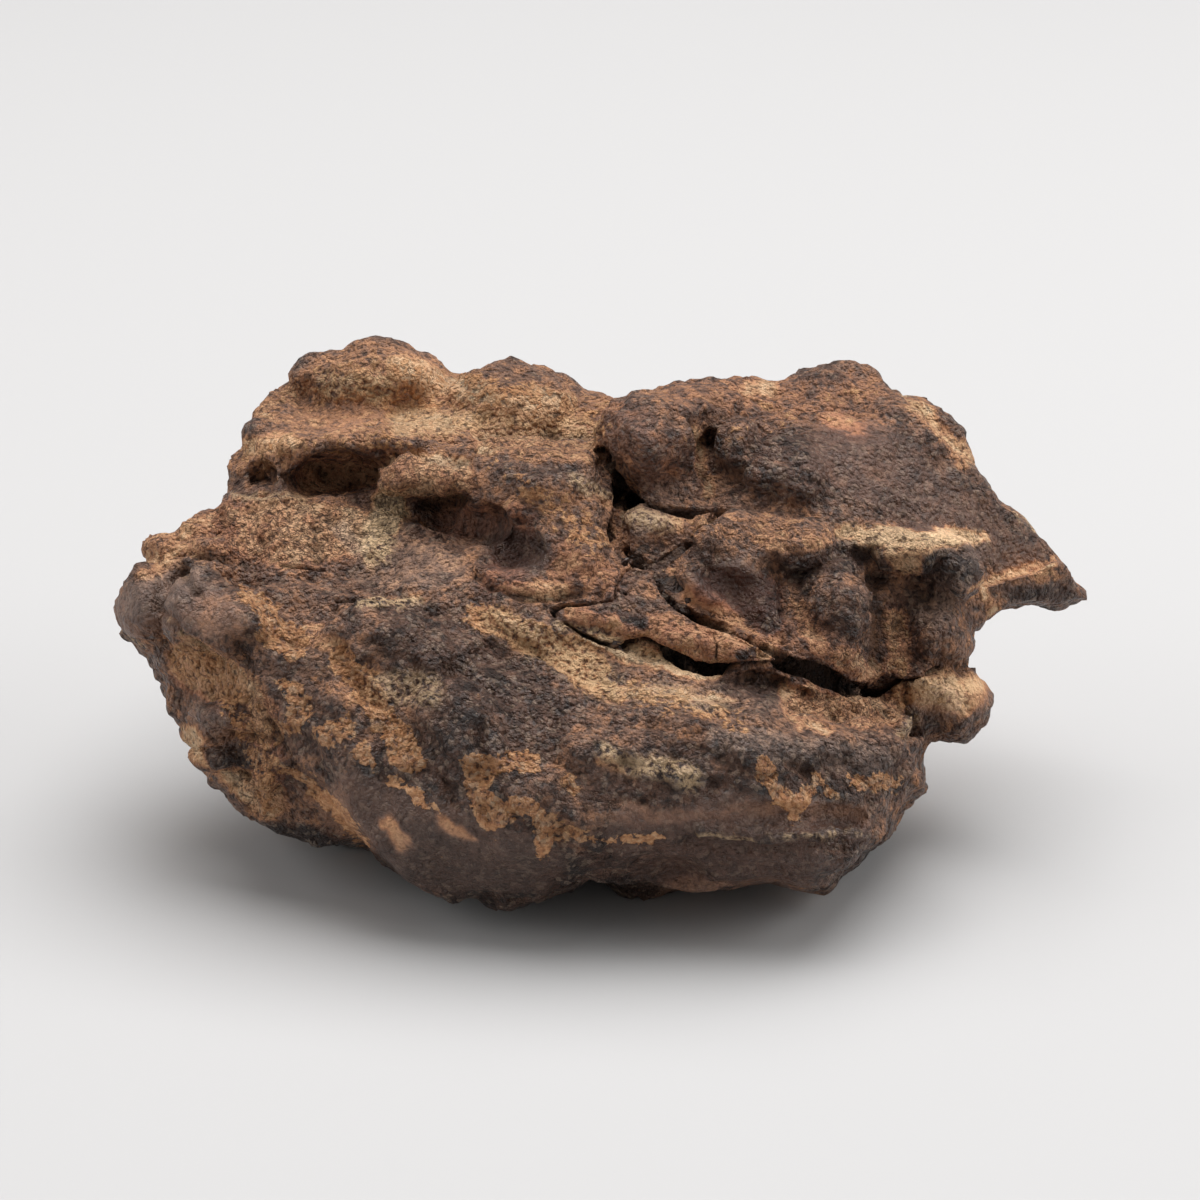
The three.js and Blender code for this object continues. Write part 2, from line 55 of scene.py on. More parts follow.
# Camera and studio
# The stone was photographed close up on a white sweep, from in front and a little above.
# A broad soft light hangs over it and a weaker one stands on each side, so its front is half in shade.
mm = 0.001
eye_distance = 300.0
eye_elevation = math.radians(24)
photo_width = 1200
pixels_per_mm = 13.5
middle_pixel = (600.0, 640.0)
middle = Vector((-0.408, -5.898, 17.2))  # the middle that the stone is described around, in its own frame

toward_eye = Vector((0, -math.cos(eye_elevation), math.sin(eye_elevation)))
picture_up = Vector((0, math.sin(eye_elevation), math.cos(eye_elevation)))
aim = middle + picture_up * ((middle_pixel[1] - photo_width / 2) / pixels_per_mm)
camera_data = bpy.data.cameras.new("camera")
camera_data.sensor_width = 36
camera_data.lens = camera_data.sensor_width * eye_distance / (photo_width / pixels_per_mm)
camera_data.clip_start = 0.01
camera = bpy.data.objects.new("camera", camera_data)
bpy.context.scene.collection.objects.link(camera)
camera.location = (middle + toward_eye * eye_distance) * mm
camera.rotation_euler = (aim * mm - camera.location).to_track_quat("-Z", "Y").to_euler()
bpy.context.scene.camera = camera


def soft_box(name, place, size, watts):
    data = bpy.data.lights.new(name, "AREA")
    data.shape = "RECTANGLE"
    data.size, data.size_y = size
    data.energy = watts
    lamp = bpy.data.objects.new(name, data)
    lamp.location = place
    lamp.rotation_euler = (Vector(place) - middle * mm).to_track_quat("Z", "Y").to_euler()
    bpy.context.scene.collection.objects.link(lamp)


soft_box("overhead_box", (0.06, 0.14, 0.62), (0.7, 0.7), 6.4)
soft_box("left_box", (-0.6, -0.05, 0.32), (0.5, 0.5), 1.5)
soft_box("right_box", (0.6, -0.05, 0.32), (0.5, 0.5), 2.0)
room = bpy.data.worlds.new("room")
room.use_nodes = True
room.node_tree.nodes["Background"].inputs["Color"].default_value = (1.0, 0.99, 0.97, 1)
room.node_tree.nodes["Background"].inputs["Strength"].default_value = 0.24
bpy.context.scene.world = room
bpy.context.scene.view_settings.view_transform = "Standard"


def linear(colour):
    """An sRGB hex colour as the linear numbers that a shader wants."""
    parts = [int(colour[i : i + 2], 16) / 255 for i in (1, 3, 5)]
    return tuple(c / 12.92 if c <= 0.04045 else ((c + 0.055) / 1.055) ** 2.4 for c in parts) + (1,)


def node(tree, kind, settings={}, **links):
    """Adds a shader node. A link's value is a socket to join, or a plain value to set.
    Its name is that of an input, or i and the input's number."""
    made = tree.nodes.new("ShaderNode" + kind)
    for key, value in settings.items():
        setattr(made, key, value)
    for key, value in links.items():
        numbered = key[0] == "i" and key[1:].isdigit()
        socket = made.inputs[int(key[1:]) if numbered else key.replace("_", " ")]
        if isinstance(value, bpy.types.NodeSocket):
            tree.links.new(value, socket)
        else:
            socket.default_value = value
    return made


def new_material(name):
    made = bpy.data.materials.new(name)
    made.use_nodes = True
    made.node_tree.nodes.clear()
    return made, made.node_tree


floor_mesh = bpy.data.meshes.new("sweep")
reach = 2
sweep_corners = [(-reach, -reach, 0), (reach, -reach, 0), (reach, reach, 0), (-reach, reach, 0)]
floor_mesh.from_pydata(sweep_corners, [], [(0, 1, 2, 3)])
floor = bpy.data.objects.new("sweep", floor_mesh)
bpy.context.scene.collection.objects.link(floor)
paper, tree = new_material("white_sweep_paper")
shader = node(tree, "BsdfPrincipled", Base_Color=linear("#bcbbbb"), Roughness=0.75)
tree.links.new(shader.outputs[0], node(tree, "OutputMaterial").inputs["Surface"])
floor_mesh.materials.append(paper)

# The stone: its form
# One lump of iron with a crust of its own rust, cracked and knobbed by long weathering in the ground.
# The CAD solid's forms are evaluated again on a fine lattice, with sharper creases between them.
# Every place is [across, up, towards the eye] in millimetres, in the picture plane through the middle.


def sight(points):
    x, y, z = points.T
    toward = -y * math.cos(eye_elevation) + z * math.sin(eye_elevation)
    spread = eye_distance / (eye_distance - toward)
    up = y * math.sin(eye_elevation) + z * math.cos(eye_elevation)
    return np.stack([x * spread, up * spread, toward]).astype(np.float32)


far_away = 1e9
hash_scale = 43758.5453


def melt(a, b, soft):
    overlap = np.maximum(soft - np.abs(a - b), 0) / soft
    return np.minimum(a, b) - overlap**3 * (soft / 6)


def lobe(at, size, roll=0, nod=0):
    roll, nod = np.radians([roll, nod])
    about_z = [[math.cos(roll), -math.sin(roll), 0], [math.sin(roll), math.cos(roll), 0], [0, 0, 1]]
    about_x = [[1, 0, 0], [0, math.cos(nod), -math.sin(nod)], [0, math.sin(nod), math.cos(nod)]]
    axes = (np.array(about_z) @ np.array(about_x)).astype(np.float32)
    at = np.array(at, np.float32)
    size = np.array(size, np.float32)

    def shape(seen):
        p = (seen.T - at) @ axes
        near = np.sqrt(((p / size) ** 2).sum(1))
        slope = np.sqrt(((p / size**2) ** 2).sum(1)) + 1e-6
        return near * (near - 1) / slope

    shape.box = (at - size.max(), at + size.max())
    return shape


def face(point, lean_across, lean_up):
    steep = math.sqrt(1 + lean_across**2 + lean_up**2)
    u0, v0, w0 = point
    return lambda seen: (seen[2] - w0 - lean_across * (seen[0] - u0) - lean_up * (seen[1] - v0)) / steep


def rear_face(point, lean_across, lean_up):
    front = face(point, lean_across, lean_up)
    return lambda seen: -front(seen)


def outlined(points):
    ends = list(zip(points, points[1:] + points[:1]))

    def shape(seen):
        u, v = seen[0], seen[1]
        nearest = np.full(u.shape, far_away, np.float32)
        inside = np.zeros(u.shape, bool)
        for (ax, ay), (bx, by) in ends:
            dx, dy = bx - ax, by - ay
            t = np.clip(((u - ax) * dx + (v - ay) * dy) / (dx * dx + dy * dy), 0, 1)
            nearest = np.minimum(nearest, (u - ax - t * dx) ** 2 + (v - ay - t * dy) ** 2)
            if dy:
                inside ^= ((ay > v) != (by > v)) & (u < dx * (v - ay) / dy + ax)
        return np.where(inside, -1, 1) * np.sqrt(nearest)

    return shape


def mass(outline, faces, soft):
    sides = [outlined(outline), *faces]

    def shape(seen):
        far = sides[0](seen)
        for side in sides[1:]:
            far = -melt(-far, -side(seen), soft)
        return far

    corners = np.array(outline, np.float32)
    whole_depth = 40
    shape.box = (np.append(corners.min(0), -whole_depth), np.append(corners.max(0), whole_depth))
    return shape


def strand(line):
    line = np.array(line, np.float32)

    def shape(seen):
        nearest = np.full(seen.shape[1], far_away, np.float32)
        for a, b in zip(line, line[1:]):
            d = b[:3] - a[:3]
            p = seen.T - a[:3]
            t = np.clip((p @ d) / (d @ d), 0, 1)
            gap = np.sqrt(((p - t[:, None] * d) ** 2).sum(1)) - a[3] - t * (b[3] - a[3])
            nearest = np.minimum(nearest, gap)
        return nearest

    thick = line[:, 3].max()
    shape.box = (line[:, :3].min(0) - thick, line[:, :3].max(0) + thick)
    return shape


def lattice_noise(x, y, z):
    """Smooth noise between -1 and 1, from one hashed value at each corner of a unit lattice."""
    cells = [np.floor(a).astype(np.float64) for a in (x, y, z)]
    f = [a - c for a, c in zip((x, y, z), cells)]
    f = [a * a * a * (a * (a * 6 - 15) + 10) for a in f]
    total = 0
    for corner in range(8):
        a, b, c = corner & 1, (corner >> 1) & 1, corner >> 2
        raw = np.sin((cells[0] + a) * 127.1 + (cells[1] + b) * 311.7 + (cells[2] + c) * 74.7) * hash_scale
        share = (f[0] if a else 1 - f[0]) * (f[1] if b else 1 - f[1]) * (f[2] if c else 1 - f[2])
        total = total + share * (2 * (raw - np.floor(raw)) - 1)
    return total


def noise_at(points, size, shift=0):
    return lattice_noise(*(points / size + shift).T)


def smooth_step(x, low, high):
    t = np.clip((x - low) / (high - low), 0, 1)
    return t * t * (3 - 2 * t)


# what the stone is built up from, from its middle outwards: (shape, how far it melts into the rest)
grown = [
    # the hidden heart of the stone, which all the rest sits on
    (lobe([-3, -2, -6], [26, 12, 14]), 3),

    # front mass: the big dark face, the terrace above it, the blunt ridge and the hollow underside
    (mass(
      [[-26.4, -0.7], [-25.9, -3], [-24.4, -5.6], [-23, -8.9], [-20.4, -11.5], [-18.9, -13.7],
      [-16.7, -16.1],
        [-14.8, -17.8], [-11.9, -19.2], [-7, -20.2], [-5.9, -20], [-1.5, -18.4], [2.2, -18.4], [7.4, -19.1],
        [14.8, -18.5], [16.7, -18.5], [18.5, -17], [21.3, -14.2], [22.2, -12.8], [24.1, -11.1],
      [23.7, -8.9],
        [24.1, -7.4], [22, -4], [14, -2], [8, -0.4], [0, 2.4], [-8, 3.4], [-20, 3], [-26, 2.2]],
      [face([-11, -3.7, 11], 0.1, -0.5), face([3, -3.7, 11], -0.05, -1.2), face([3, -9.6, 15], 0.02, 0.05),
        face([3, -14, 14.2], 0, 0.45), face([3, -17.8, 10.5], 0, 1.6), face([-8.9, -16.3, 12.2], 0.1, 0.9),
        face([-22, -6, 9.6], 0.5, 0.05), face([14, -10, 14.2], -0.55, -0.1), face([22, -11, 8], -1.6, 0.2),
        face([18.5, -5.6, 6.8], -0.6, -1.8), face([-11, 1.9, 7.4], -0.05, -1.9),
        rear_face([0, -17.5, 0], 0, -2.25), rear_face([0, -10, -10], 0, -0.4)],
      1.2,
    ), 1.5),

    # lower left flank, turned away to the left
    (mass(
      [[-35.4, 0.7], [-34.2, -0.1], [-33, -1.1], [-32.3, -3.3], [-31.4, -5.6], [-31, -7.5], [-29.6, -8.7],
        [-28.7, -10.4], [-26.6, -12.2], [-24.4, -13.7], [-21.8, -15.2], [-18, -15.6], [-9, -14], [-9, 1],
        [-20, 4], [-32, 4]],
      [face([-27.4, -5.9, 4.6], 1.1, 0.1), face([-23, -13.4, 4], 0.4, 1.1), face([-22, -6, 8.8], 0.15, -0.4),
        rear_face([-20, -8, -14], -0.5, -0.5), rear_face([-20, -15.3, -2], -0.3, -2.25)],
      1.6,
    ), 1.2),

    # left end: two knobs in front and the smaller ones behind them
    (lobe([-29.6, 2.4, 3.4], [3.1, 3.6, 3.8], 10), 0.7),
    (lobe([-26.8, 1.2, 6], [3.4, 2.6, 2.6], -8), 0.9),
    (lobe([-33.6, 2.8, -0.6], [2.5, 3.1, 3.6]), 0.6),
    (lobe([-32.4, 6.8, -5], [1.7, 1.5, 3]), 0.6),
    (lobe([-31.6, 5, -3.4], [2.4, 1.8, 3]), 0.6),
    (lobe([-29.6, 7.8, -5], [2.1, 1.8, 3]), 0.6),
    (lobe([-28.4, 5.2, -3], [3.4, 3, 5]), 1),

    # upper left hill: a roof that slopes towards the eye, then steps down to the ledge over the cave
    (mass(
      [[-27.5, 9.9], [-27.4, 11.3], [-27.6, 13.3], [-26.9, 14], [-25.5, 17.2], [-24.4, 18.3], [-22.4, 19.1],
        [-21.8, 20.6], [-20, 22.1], [-18.9, 22.5], [-16.7, 23.1], [-14.8, 22.7], [-12.4, 22.4], [-11, 21.6],
        [-9, 21.4], [-4, 20.5], [-2.4, 19.8], [-1.1, 18.7], [0.4, 18.4], [1.2, 17.6], [2.8, 14], [2, 3],
        [-14, 2], [-27, 3]],
      [face([-11, 18.1, -12], 0, -2), face([-18, 13.2, -4.4], -0.04, -0.45),
        face([-26.7, 12.6, -7.5], 1.4, -0.3),
        face([-3, 13, -5], -0.15, -1.1), rear_face([-12, 14, -23.5], 0.1, 0.2),
        rear_face([-24, 14, -16.5], -1, 0.3)],
      0.9,
    ), 1.2),
    # the rusty slope below the cave and the smooth saddle beside it
    (mass(
      [[-27.9, 10.6], [-16.4, 10.4], [-12, 8.4], [-8, 8], [-6, 2], [-27, 2], [-29, 5]],
      [face([-22.2, 8.1, -0.2], 0.12, -0.8), face([-13, 6, 1.6], 0.1, -0.75), rear_face([-20, 4, -10], 0, 0)],
      0.9,
    ), 0.9),
    (lobe([-17, 19.3, -14], [6, 3, 5]), 1.6),
    (lobe([-6.4, 17.6, -12], [5, 3, 5], -8), 1.6),
    # the knobs of the ledge over the cave, the rough nodule beside it, and the boulder
    (lobe([-14.9, 14.4, -4.6], [1.9, 1.3, 2]), 0.5),
    (lobe([-18.7, 14.8, -4.2], [2, 1.2, 2]), 0.5),
    (lobe([-22, 14.3, -4.4], [2.2, 1.3, 2]), 0.5),
    (lobe([-13, 11.8, -3.4], [3.7, 1.9, 3.2], 4), 0.5),
    (lobe([-4.4, 9, -2.6], [6.6, 5.8, 7.4]), 0.7),
    (lobe([-8.6, 12.4, -2.4], [3.2, 2, 3.2], 20), 0.8),
    (lobe([-6.2, 4.4, 2.2], [3.6, 1.8, 3.2], 4), 0.6),
    (lobe([-1.6, 5.6, 2], [3.5, 2.7, 3.8], -10), 0.7),

    # right mass: the broad dark face with its straight edge, and the redder top beside it
    (mass(
      [[1.5, 17.5], [3.9, 18.7], [6.7, 19.1], [8.5, 19.5], [10.4, 19.1], [13.3, 19.2], [15.3, 19.6],
        [17.4, 20.4], [19.4, 21.2], [21, 19.8], [22.6, 18], [34.3, 6.1], [34.2, 4.8], [28, 3], [24, -3],
        [16, -4], [6, 2], [3, 8]],
      [face([10.4, 17, -5.4], -0.02, -1.3), face([12.5, 11.5, 0.2], -0.05, -0.55),
        face([23.7, 11.9, -3], -0.5, -0.4),
        face([31, 7, -6.4], -0.8, -0.1), rear_face([16, 6, -17], 0.35, 0.3)],
      0.8,
    ), 1),
    # the slab that shows behind the straight edge
    (mass(
      [[22, 18.1], [24.1, 17.8], [26, 16.4], [26.8, 15.6], [27.6, 13.1], [29, 10], [24, 10], [20, 16]],
      [face([25, 15, -8], -0.3, -0.2), rear_face([25, 14, -15], 0, 0)],
      0.5,
    ), 0.4),
    # the knob by the cleft and the lump beside it
    (lobe([4, 14.4, -3.6], [4.3, 4.1, 6], 6), 0.9),
    (lobe([6.6, 16.4, -6], [4.6, 2.8, 5]), 0.9),
    (lobe([9.8, 14.4, -1.4], [1.9, 2.4, 2.6]), 0.6),
    (lobe([13.6, 12, -1.6], [4, 3, 3.4], -12), 0.7),
    # lower bumps: the paw beside the cleft, the dark pillar, and their common foot
    (lobe([9.4, 6, 0.4], [4.4, 3.4, 5.4], 24), 0.7),
    (lobe([7.8, 3.6, 2], [2.9, 2.2, 4], -30), 0.6),
    (lobe([14, 6.8, 1.6], [4, 2.2, 4], -8), 0.6),
    (lobe([17.6, 2.6, 1.8], [3.5, 3.8, 5.2], -6), 0.6),
    (lobe([16.6, -1, 2], [3.8, 2.4, 4.8], -20), 0.6),
    (lobe([12.6, 1, 2], [3, 2.2, 4.4], -24), 0.6),
    # the pale spongy lens under the broad face and the dark bump at its end
    (lobe([22.4, 7, -1], [5.6, 1.6, 3.8], -2), 0.5),
    (lobe([26, 5, -1.6], [2.7, 2.1, 3.6]), 0.6),
    # the sharp corner: the thin layer below the broad face, drawn out into a tail
    (mass(
      [[26.6, 3.1], [30.4, 4.8], [34.3, 6], [36, 4.2], [37.4, 2.8], [34.4, 1.9], [33, 1.9], [31.8, 2.3],
        [29.5, 1.8], [28.5, 1.2], [25, -0.5]],
      [face([31, 3.7, -4.4], -0.5, 0.2), rear_face([31, 0, -10], 0, 0)],
      0.4,
    ), 0.4),
    # right end under the corner: a dark column, and lumps that step down to the front ridge
    (lobe([24.6, 0.6, -2.6], [3.2, 3.2, 4.8]), 0.6),
    (lobe([24, -3, -2.4], [3.8, 2.4, 4.4]), 0.8),
    (lobe([22, -5, -3], [3.4, 3.2, 4]), 0.8),
    (lobe([26, -4.8, -3.6], [2.9, 2.5, 4]), 0.6),
    (lobe([22.6, -6.5, 5.4], [1.1, 1.1, 1.4]), 0.4),
    (lobe([23.4, -10.2, 4.6], [1.1, 1.4, 2]), 0.5),

    # what is wedged in the cleft between the masses: the long sliver and the round pebble
    (strand([[-2.6, 2.4, 4.6, 0.9], [1.3, 1.7, 5.4, 1.5], [5.9, 0, 6.4, 1.7], [10.4, -0.8, 7, 1.5],
      [13.3, -1.6, 7, 0.9]]), 0.4),
    (lobe([4.1, 8.4, -0.6], [2.6, 1.7, 2.2], 4), 0.3),

    # relief of the front face: a dark swell at its upper left, the long bulge of the ridge, the keel
    (lobe([-14, -1, 6.4], [7, 3, 4.4], -14), 0.9),
    (lobe([-9, -7.6, 10.2], [6, 4, 4.4], -30), 1.4),
    (lobe([-17.6, -9, 8], [3.6, 7, 4.4], 28), 1.2),
    (strand([[-2, -8.2, 12.8, 1.6], [4, -9.6, 13.4, 2.1], [10.4, -9.2, 12.6, 2], [17, -8.4, 10.4, 1.9],
      [22, -9, 6.4, 1.6]]), 1),
    (strand([[3, -16.6, 9.8, 1.8], [11, -16.4, 9.8, 2], [18, -15.4, 7.4, 1.8]]), 1),
    # ledges of the left flank
    (lobe([-28.2, -5.7, 4.6], [2.6, 1.4, 2.2], -4), 0.5),
    (lobe([-28.4, -8.8, 3.6], [2.4, 1.4, 2], -10), 0.5),
    (lobe([-24.6, -10, 6], [1.4, 1.4, 1.6]), 0.5),

    # back: hidden from the front, made of the same kind of knobs
    (lobe([-13, 0, -12], [13, 11, 11]), 2),
    (lobe([8, -1, -11], [13, 10.4, 10]), 2),
    (lobe([-3, 4, -17], [11, 9, 7], -20), 1.6),
    (lobe([17, 3, -10], [9, 8, 7], 10), 1.6),
    (lobe([-22, 1, -9], [8, 8, 8]), 1.6),
    (lobe([-16, 8, -19], [8, 5, 5], 14), 1.2),
    (lobe([7, 8, -15], [6, 5, 6]), 1.2),
    (lobe([-8, -6, -20], [6, 5, 5], 5), 1.2),
    (lobe([14, -4, -16], [6, 5, 5], -12), 1.2),

    # the low points that it stands on
    (lobe([4, -14.3, 0.2], [6.5, 5, 5.2], nod=24), 1.5),
    (lobe([-17, -10.4, -6.9], [6.5, 5.4, 5.6], nod=24), 1.5),
    (lobe([10, -5.2, -17.2], [6.5, 5.4, 5.6], nod=24), 1.5),
]
# what time and breakage have taken out of it: (shape, how soft its rim is)
lost = [
    # the cave under the left ledge and the small hole beside it
    (lobe([-19.4, 12.4, -3], [4.2, 1.7, 4.4], 8), 0.5),
    (lobe([-25.2, 12.4, -5.4], [1.1, 0.9, 2]), 0.3),
    # the dark recess on the left of the boulder, and the hollow that it runs out into
    (lobe([-10.4, 8.6, 2.4], [3, 1.4, 3.2], -8), 0.5),
    (lobe([-7, 6.9, 5.2], [3, 1.9, 2.6], -10), 0.7),
    # the cleft between the two masses and the gap under the right one
    (strand([[0.4, 16.4, -7, 0.6], [0, 14, -3, 0.6], [1.3, 12.2, 0.6, 0.7], [1.9, 10.2, 1.2, 0.7],
      [1.4, 8.4, 2, 0.7], [1.7, 5.8, 3.6, 0.7], [3.8, 5.4, 2.4, 1]]), 0.4),
    (strand([[3.6, 10.2, 2.4, 0.6], [6.4, 9.6, 2.2, 0.8], [9.2, 9.6, 2.4, 0.5]]), 0.4),
    (strand([[3.8, 5.4, 2.8, 1], [4.9, 3.2, 5.4, 0.7], [7.4, 1.5, 7, 0.6], [10.4, 1.1, 7.6, 0.6],
      [13.6, -0.8, 8, 0.7]]), 0.3),
    (strand([[-3.4, 2.2, 5, 0.5], [1.1, -0.2, 7.2, 0.6], [5.9, -1.6, 8.4, 0.6], [12, -2.2, 9, 0.7]]), 0.3),
    (strand([[-10, 3.1, 3.8, 0.4], [-6, 3, 4.8, 0.4], [0, 3.1, 5, 0.4], [1.7, 5.6, 4.4, 0.5]]), 0.3),
    (strand([[13.7, -2, 7.6, 0.9], [16.4, -2.9, 7, 1.1], [19.4, -3.9, 5, 0.9], [22, -3.2, 3, 0.6]]), 0.4),
    # the rusty trough behind the front ridge
    (strand([[14.6, -4.8, 7.8, 0.9], [18, -5.2, 6.6, 1.3], [22, -5, 3.6, 1]]), 0.7),
    # the red hollow in the paw, the step under the lens and the waist under the corner
    (lobe([11.2, 3, 8], [1.3, 2.6, 3], -10), 0.5),
    (strand([[19.4, 4.6, 4, 0.8], [22.4, 4.2, 3, 1], [24.6, 3, 2.8, 0.6]]), 0.5),
    (strand([[21.4, 3, 4.6, 0.7], [22, -1, 4, 0.8], [22.6, -3.4, 3.4, 0.6]]), 0.5),
    (strand([[27.4, 1.4, 0.6, 0.7], [29.4, 2.2, -3, 0.5]]), 0.4),
    (strand([[24.4, -2.6, 2.6, 0.6], [28, -2.4, -1, 0.6]]), 0.4),
    # the gully down the front face and the edge of the flank beside it
    (strand([[-20, 0, 9, 0.9], [-18.5, -2.2, 10.2, 1], [-16.2, -4.8, 11.6, 1.1],
      [-13.8, -8.6, 13.6, 0.9]]), 0.6),
    (strand([[-25.4, -1.6, 9, 0.6], [-23.6, -6, 9.6, 0.7], [-20, -11, 11, 0.6]]), 0.6),
    (strand([[-27.2, -7.2, 6.4, 0.6], [-30, -7.4, 4, 0.7]]), 0.4),
    # the hollow under the ridge's right half and the groove along the keel
    (lobe([3.6, -18.4, 13], [5, 1.8, 5], 4), 0.8),
    (strand([[3, -13.8, 15.2, 0.9], [9, -13.2, 15.6, 1], [15, -13.2, 14, 0.9],
      [19.4, -13.2, 11.4, 0.7]]), 0.8),
    # thumbprint hollows on the back
    (lobe([2, 8, -27], [6, 5, 6]), 1.2),
    (lobe([-20, -3, -25], [7, 5, 7]), 1.2),
    (lobe([22, -3, -20], [6, 5, 6]), 1.2),
    (lobe([2, -10, -26], [6, 4, 6]), 1.2),
    (lobe([-29, 2, -14], [5, 5, 5]), 1),
]


def base_field(points, everywhere=False, softness=0.55):
    """Distance to the skin of the CAD solid's forms, in millimetres, less than nothing inside it.
    The solid melts its forms together with a softness of 1. Less than that leaves sharper creases."""
    seen = sight(points)
    depth = np.full(seen.shape[1], 1e3, np.float32)
    for forms, sign in ((grown, 1), (lost, -1)):
        for shape, soft in forms:
            low, high = shape.box
            reach = 3.0 + soft
            near = np.ones(depth.shape, bool)
            if not everywhere:
                for axis in range(3):
                    near &= (seen[axis] > low[axis] - reach) & (seen[axis] < high[axis] + reach)
            if near.any():
                depth[near] = sign * melt(sign * depth[near], shape(seen[:, near]), soft * softness)
    x, y, z = points.T
    lumps = 0.6 * noise_at(points, 5.5) + 0.35 * noise_at(points, 2.9)
    right_plane = smooth_step(x, 17, 24) * smooth_step(z, -2, 4)
    back = smooth_step(y, 17, 27)
    lumps = lumps * (1 - 0.75 * right_plane) + back * (1.6 * noise_at(points, (9, 9, 8), (0, 4, 0)) + 0.4)
    return depth + lumps.astype(np.float32)


def seen_at(px, py):
    """A place in the photograph, as millimetres across and up in the picture plane."""
    return (px - middle_pixel[0]) / pixels_per_mm, (middle_pixel[1] - py) / pixels_per_mm


def line_gap(seen, line):
    """Distance in the picture plane from a line whose points are (pixel across, pixel down, width in mm)."""
    nearest = np.full(seen.shape[1], far_away, np.float32)
    for (ax, ay, ar), (bx, by, br) in zip(line, line[1:]):
        (au, av), (bu, bv) = seen_at(ax, ay), seen_at(bx, by)
        du, dv = bu - au, bv - av
        t = np.clip(((seen[0] - au) * du + (seen[1] - av) * dv) / (du * du + dv * dv), 0, 1)
        gap = np.hypot(seen[0] - au - t * du, seen[1] - av - t * dv) - (ar + t * (br - ar)) / 2
        nearest = np.minimum(nearest, gap)
    return nearest


# cracks that part the crust, each as wide as it looks, and the share of their depth that the skin is cut:
# (line, depth in mm)
crack_cut = 0.7
cracks = [
    ([(603, 452, 0.2), (610, 466, 0.4), (618, 478, 0.55), (623, 492, 0.7), (621, 505, 0.6)], 2.4),
    ([(616, 512, 0.3), (613, 528, 0.45), (613, 540, 0.3)], 1.6),
    ([(624, 550, 0.5), (634, 556, 1.1), (648, 562, 0.8), (657, 563, 0.6)], 2.4),
    ([(630, 500, 0.3), (655, 504, 0.5), (690, 511, 0.7), (722, 510, 0.3)], 1.4),
    ([(722, 513, 0.5), (700, 529, 0.7), (682, 545, 0.6), (664, 560, 0.8), (658, 574, 0.7), (664, 588, 0.5),
      (678, 602, 0.5), (694, 614, 0.6), (712, 621, 0.6), (736, 630, 0.5), (760, 641, 0.6),
      (786, 656, 0.9)], 2.6),
    ([(634, 560, 0.4), (622, 572, 0.25), (617, 584, 0.2), (616, 596, 0.22)], 1.2),
    ([(619, 588, 0.15), (626, 592, 0.15), (632, 588, 0.1)], 0.8),
    ([(612, 598, 0.15), (590, 601, 0.25), (566, 601, 0.3), (553, 607, 0.4), (556, 612, 0.3)], 1.4),
    ([(566, 620, 0.15), (582, 634, 0.3), (600, 643, 0.3), (620, 645, 0.35), (645, 641, 0.45),
      (664, 650, 0.55), (684, 663, 0.65), (706, 669, 0.7), (726, 670, 0.45), (765, 667, 0.5),
      (787, 664, 0.7)], 2.4),
    ([(784, 664, 1), (806, 668, 1.2), (828, 680, 1.2), (850, 689, 0.9), (872, 691, 0.6), (896, 683, 0.35),
      (920, 677, 0.25), (946, 669, 0.2)], 2.4),
    ([(668, 600, 0.1), (660, 616, 0.12), (657, 634, 0.12)], 0.6),
    ([(716, 636, 0.15), (719, 648, 0.2), (716, 660, 0.15)], 0.8),
    ([(278, 563, 0.15), (300, 565, 0.25), (326, 567, 0.15)], 1),
    ([(335, 598, 0.3), (360, 596, 0.4), (375, 602, 0.2)], 1),
]


def crack_gaps(points, seen):
    """Distance from each crack in the picture plane, with a little sway along it."""
    sway = np.stack([noise_at(points, 1.7, (0, s, 0)) for s in (11, 23)]).astype(np.float32)
    swayed = seen[:2] + 0.2 * sway
    rearmost, far_off = -14, 9
    front = seen[2] > rearmost
    for line, deep in cracks:
        gap = np.full(len(points), far_off, np.float32)
        gap[front] = line_gap(swayed[:, front], line)
        yield gap, deep


lattice = 0.42
low = np.array([-39.0, -21.0, -18.5])
high = np.array([39.5, 33.0, 18.5])
ground = -middle.z
coarser = 4
far_depth = 2.0
band_width = 3.6


def lattice_points(cell):
    count = np.ceil((high - low) / cell).astype(int) + 1
    return count, np.indices(count).reshape(3, -1).T


# the forms are worked out on a coarse lattice first, and on the fine one only near the skin
coarse = lattice * coarser
coarse_count, coarse_grid = lattice_points(coarse)
coarse_depth = base_field(low + coarse_grid * coarse, everywhere=True).reshape(coarse_count)
count, grid = lattice_points(lattice)
nearest_coarse = np.minimum(np.rint(grid / coarser).astype(int), coarse_count - 1)
rough_depth = coarse_depth[tuple(nearest_coarse.T)]
depth = np.where(rough_depth < 0, -far_depth, far_depth).astype(np.float32)
band = np.abs(rough_depth) < band_width
depth[band] = base_field(low + grid[band] * lattice)
floor_gap = ground - (low[2] + grid[:, 2] * lattice)
depth = np.maximum(depth, floor_gap.astype(np.float32)).reshape(count)

volume = openvdb.FloatGrid(far_depth)
volume.copyFromArray(depth)
corners, quads = volume.convertToQuads(0.0)[:2]
corners = np.array(corners, np.float64)
quads = np.array(quads)
places = low + corners * lattice
a, b, c = (places[quads[:, i]] for i in range(3))
if np.einsum("ij,ij->i", np.cross(b - a, c - a), a).sum() < 0:
    quads = quads[:, ::-1]

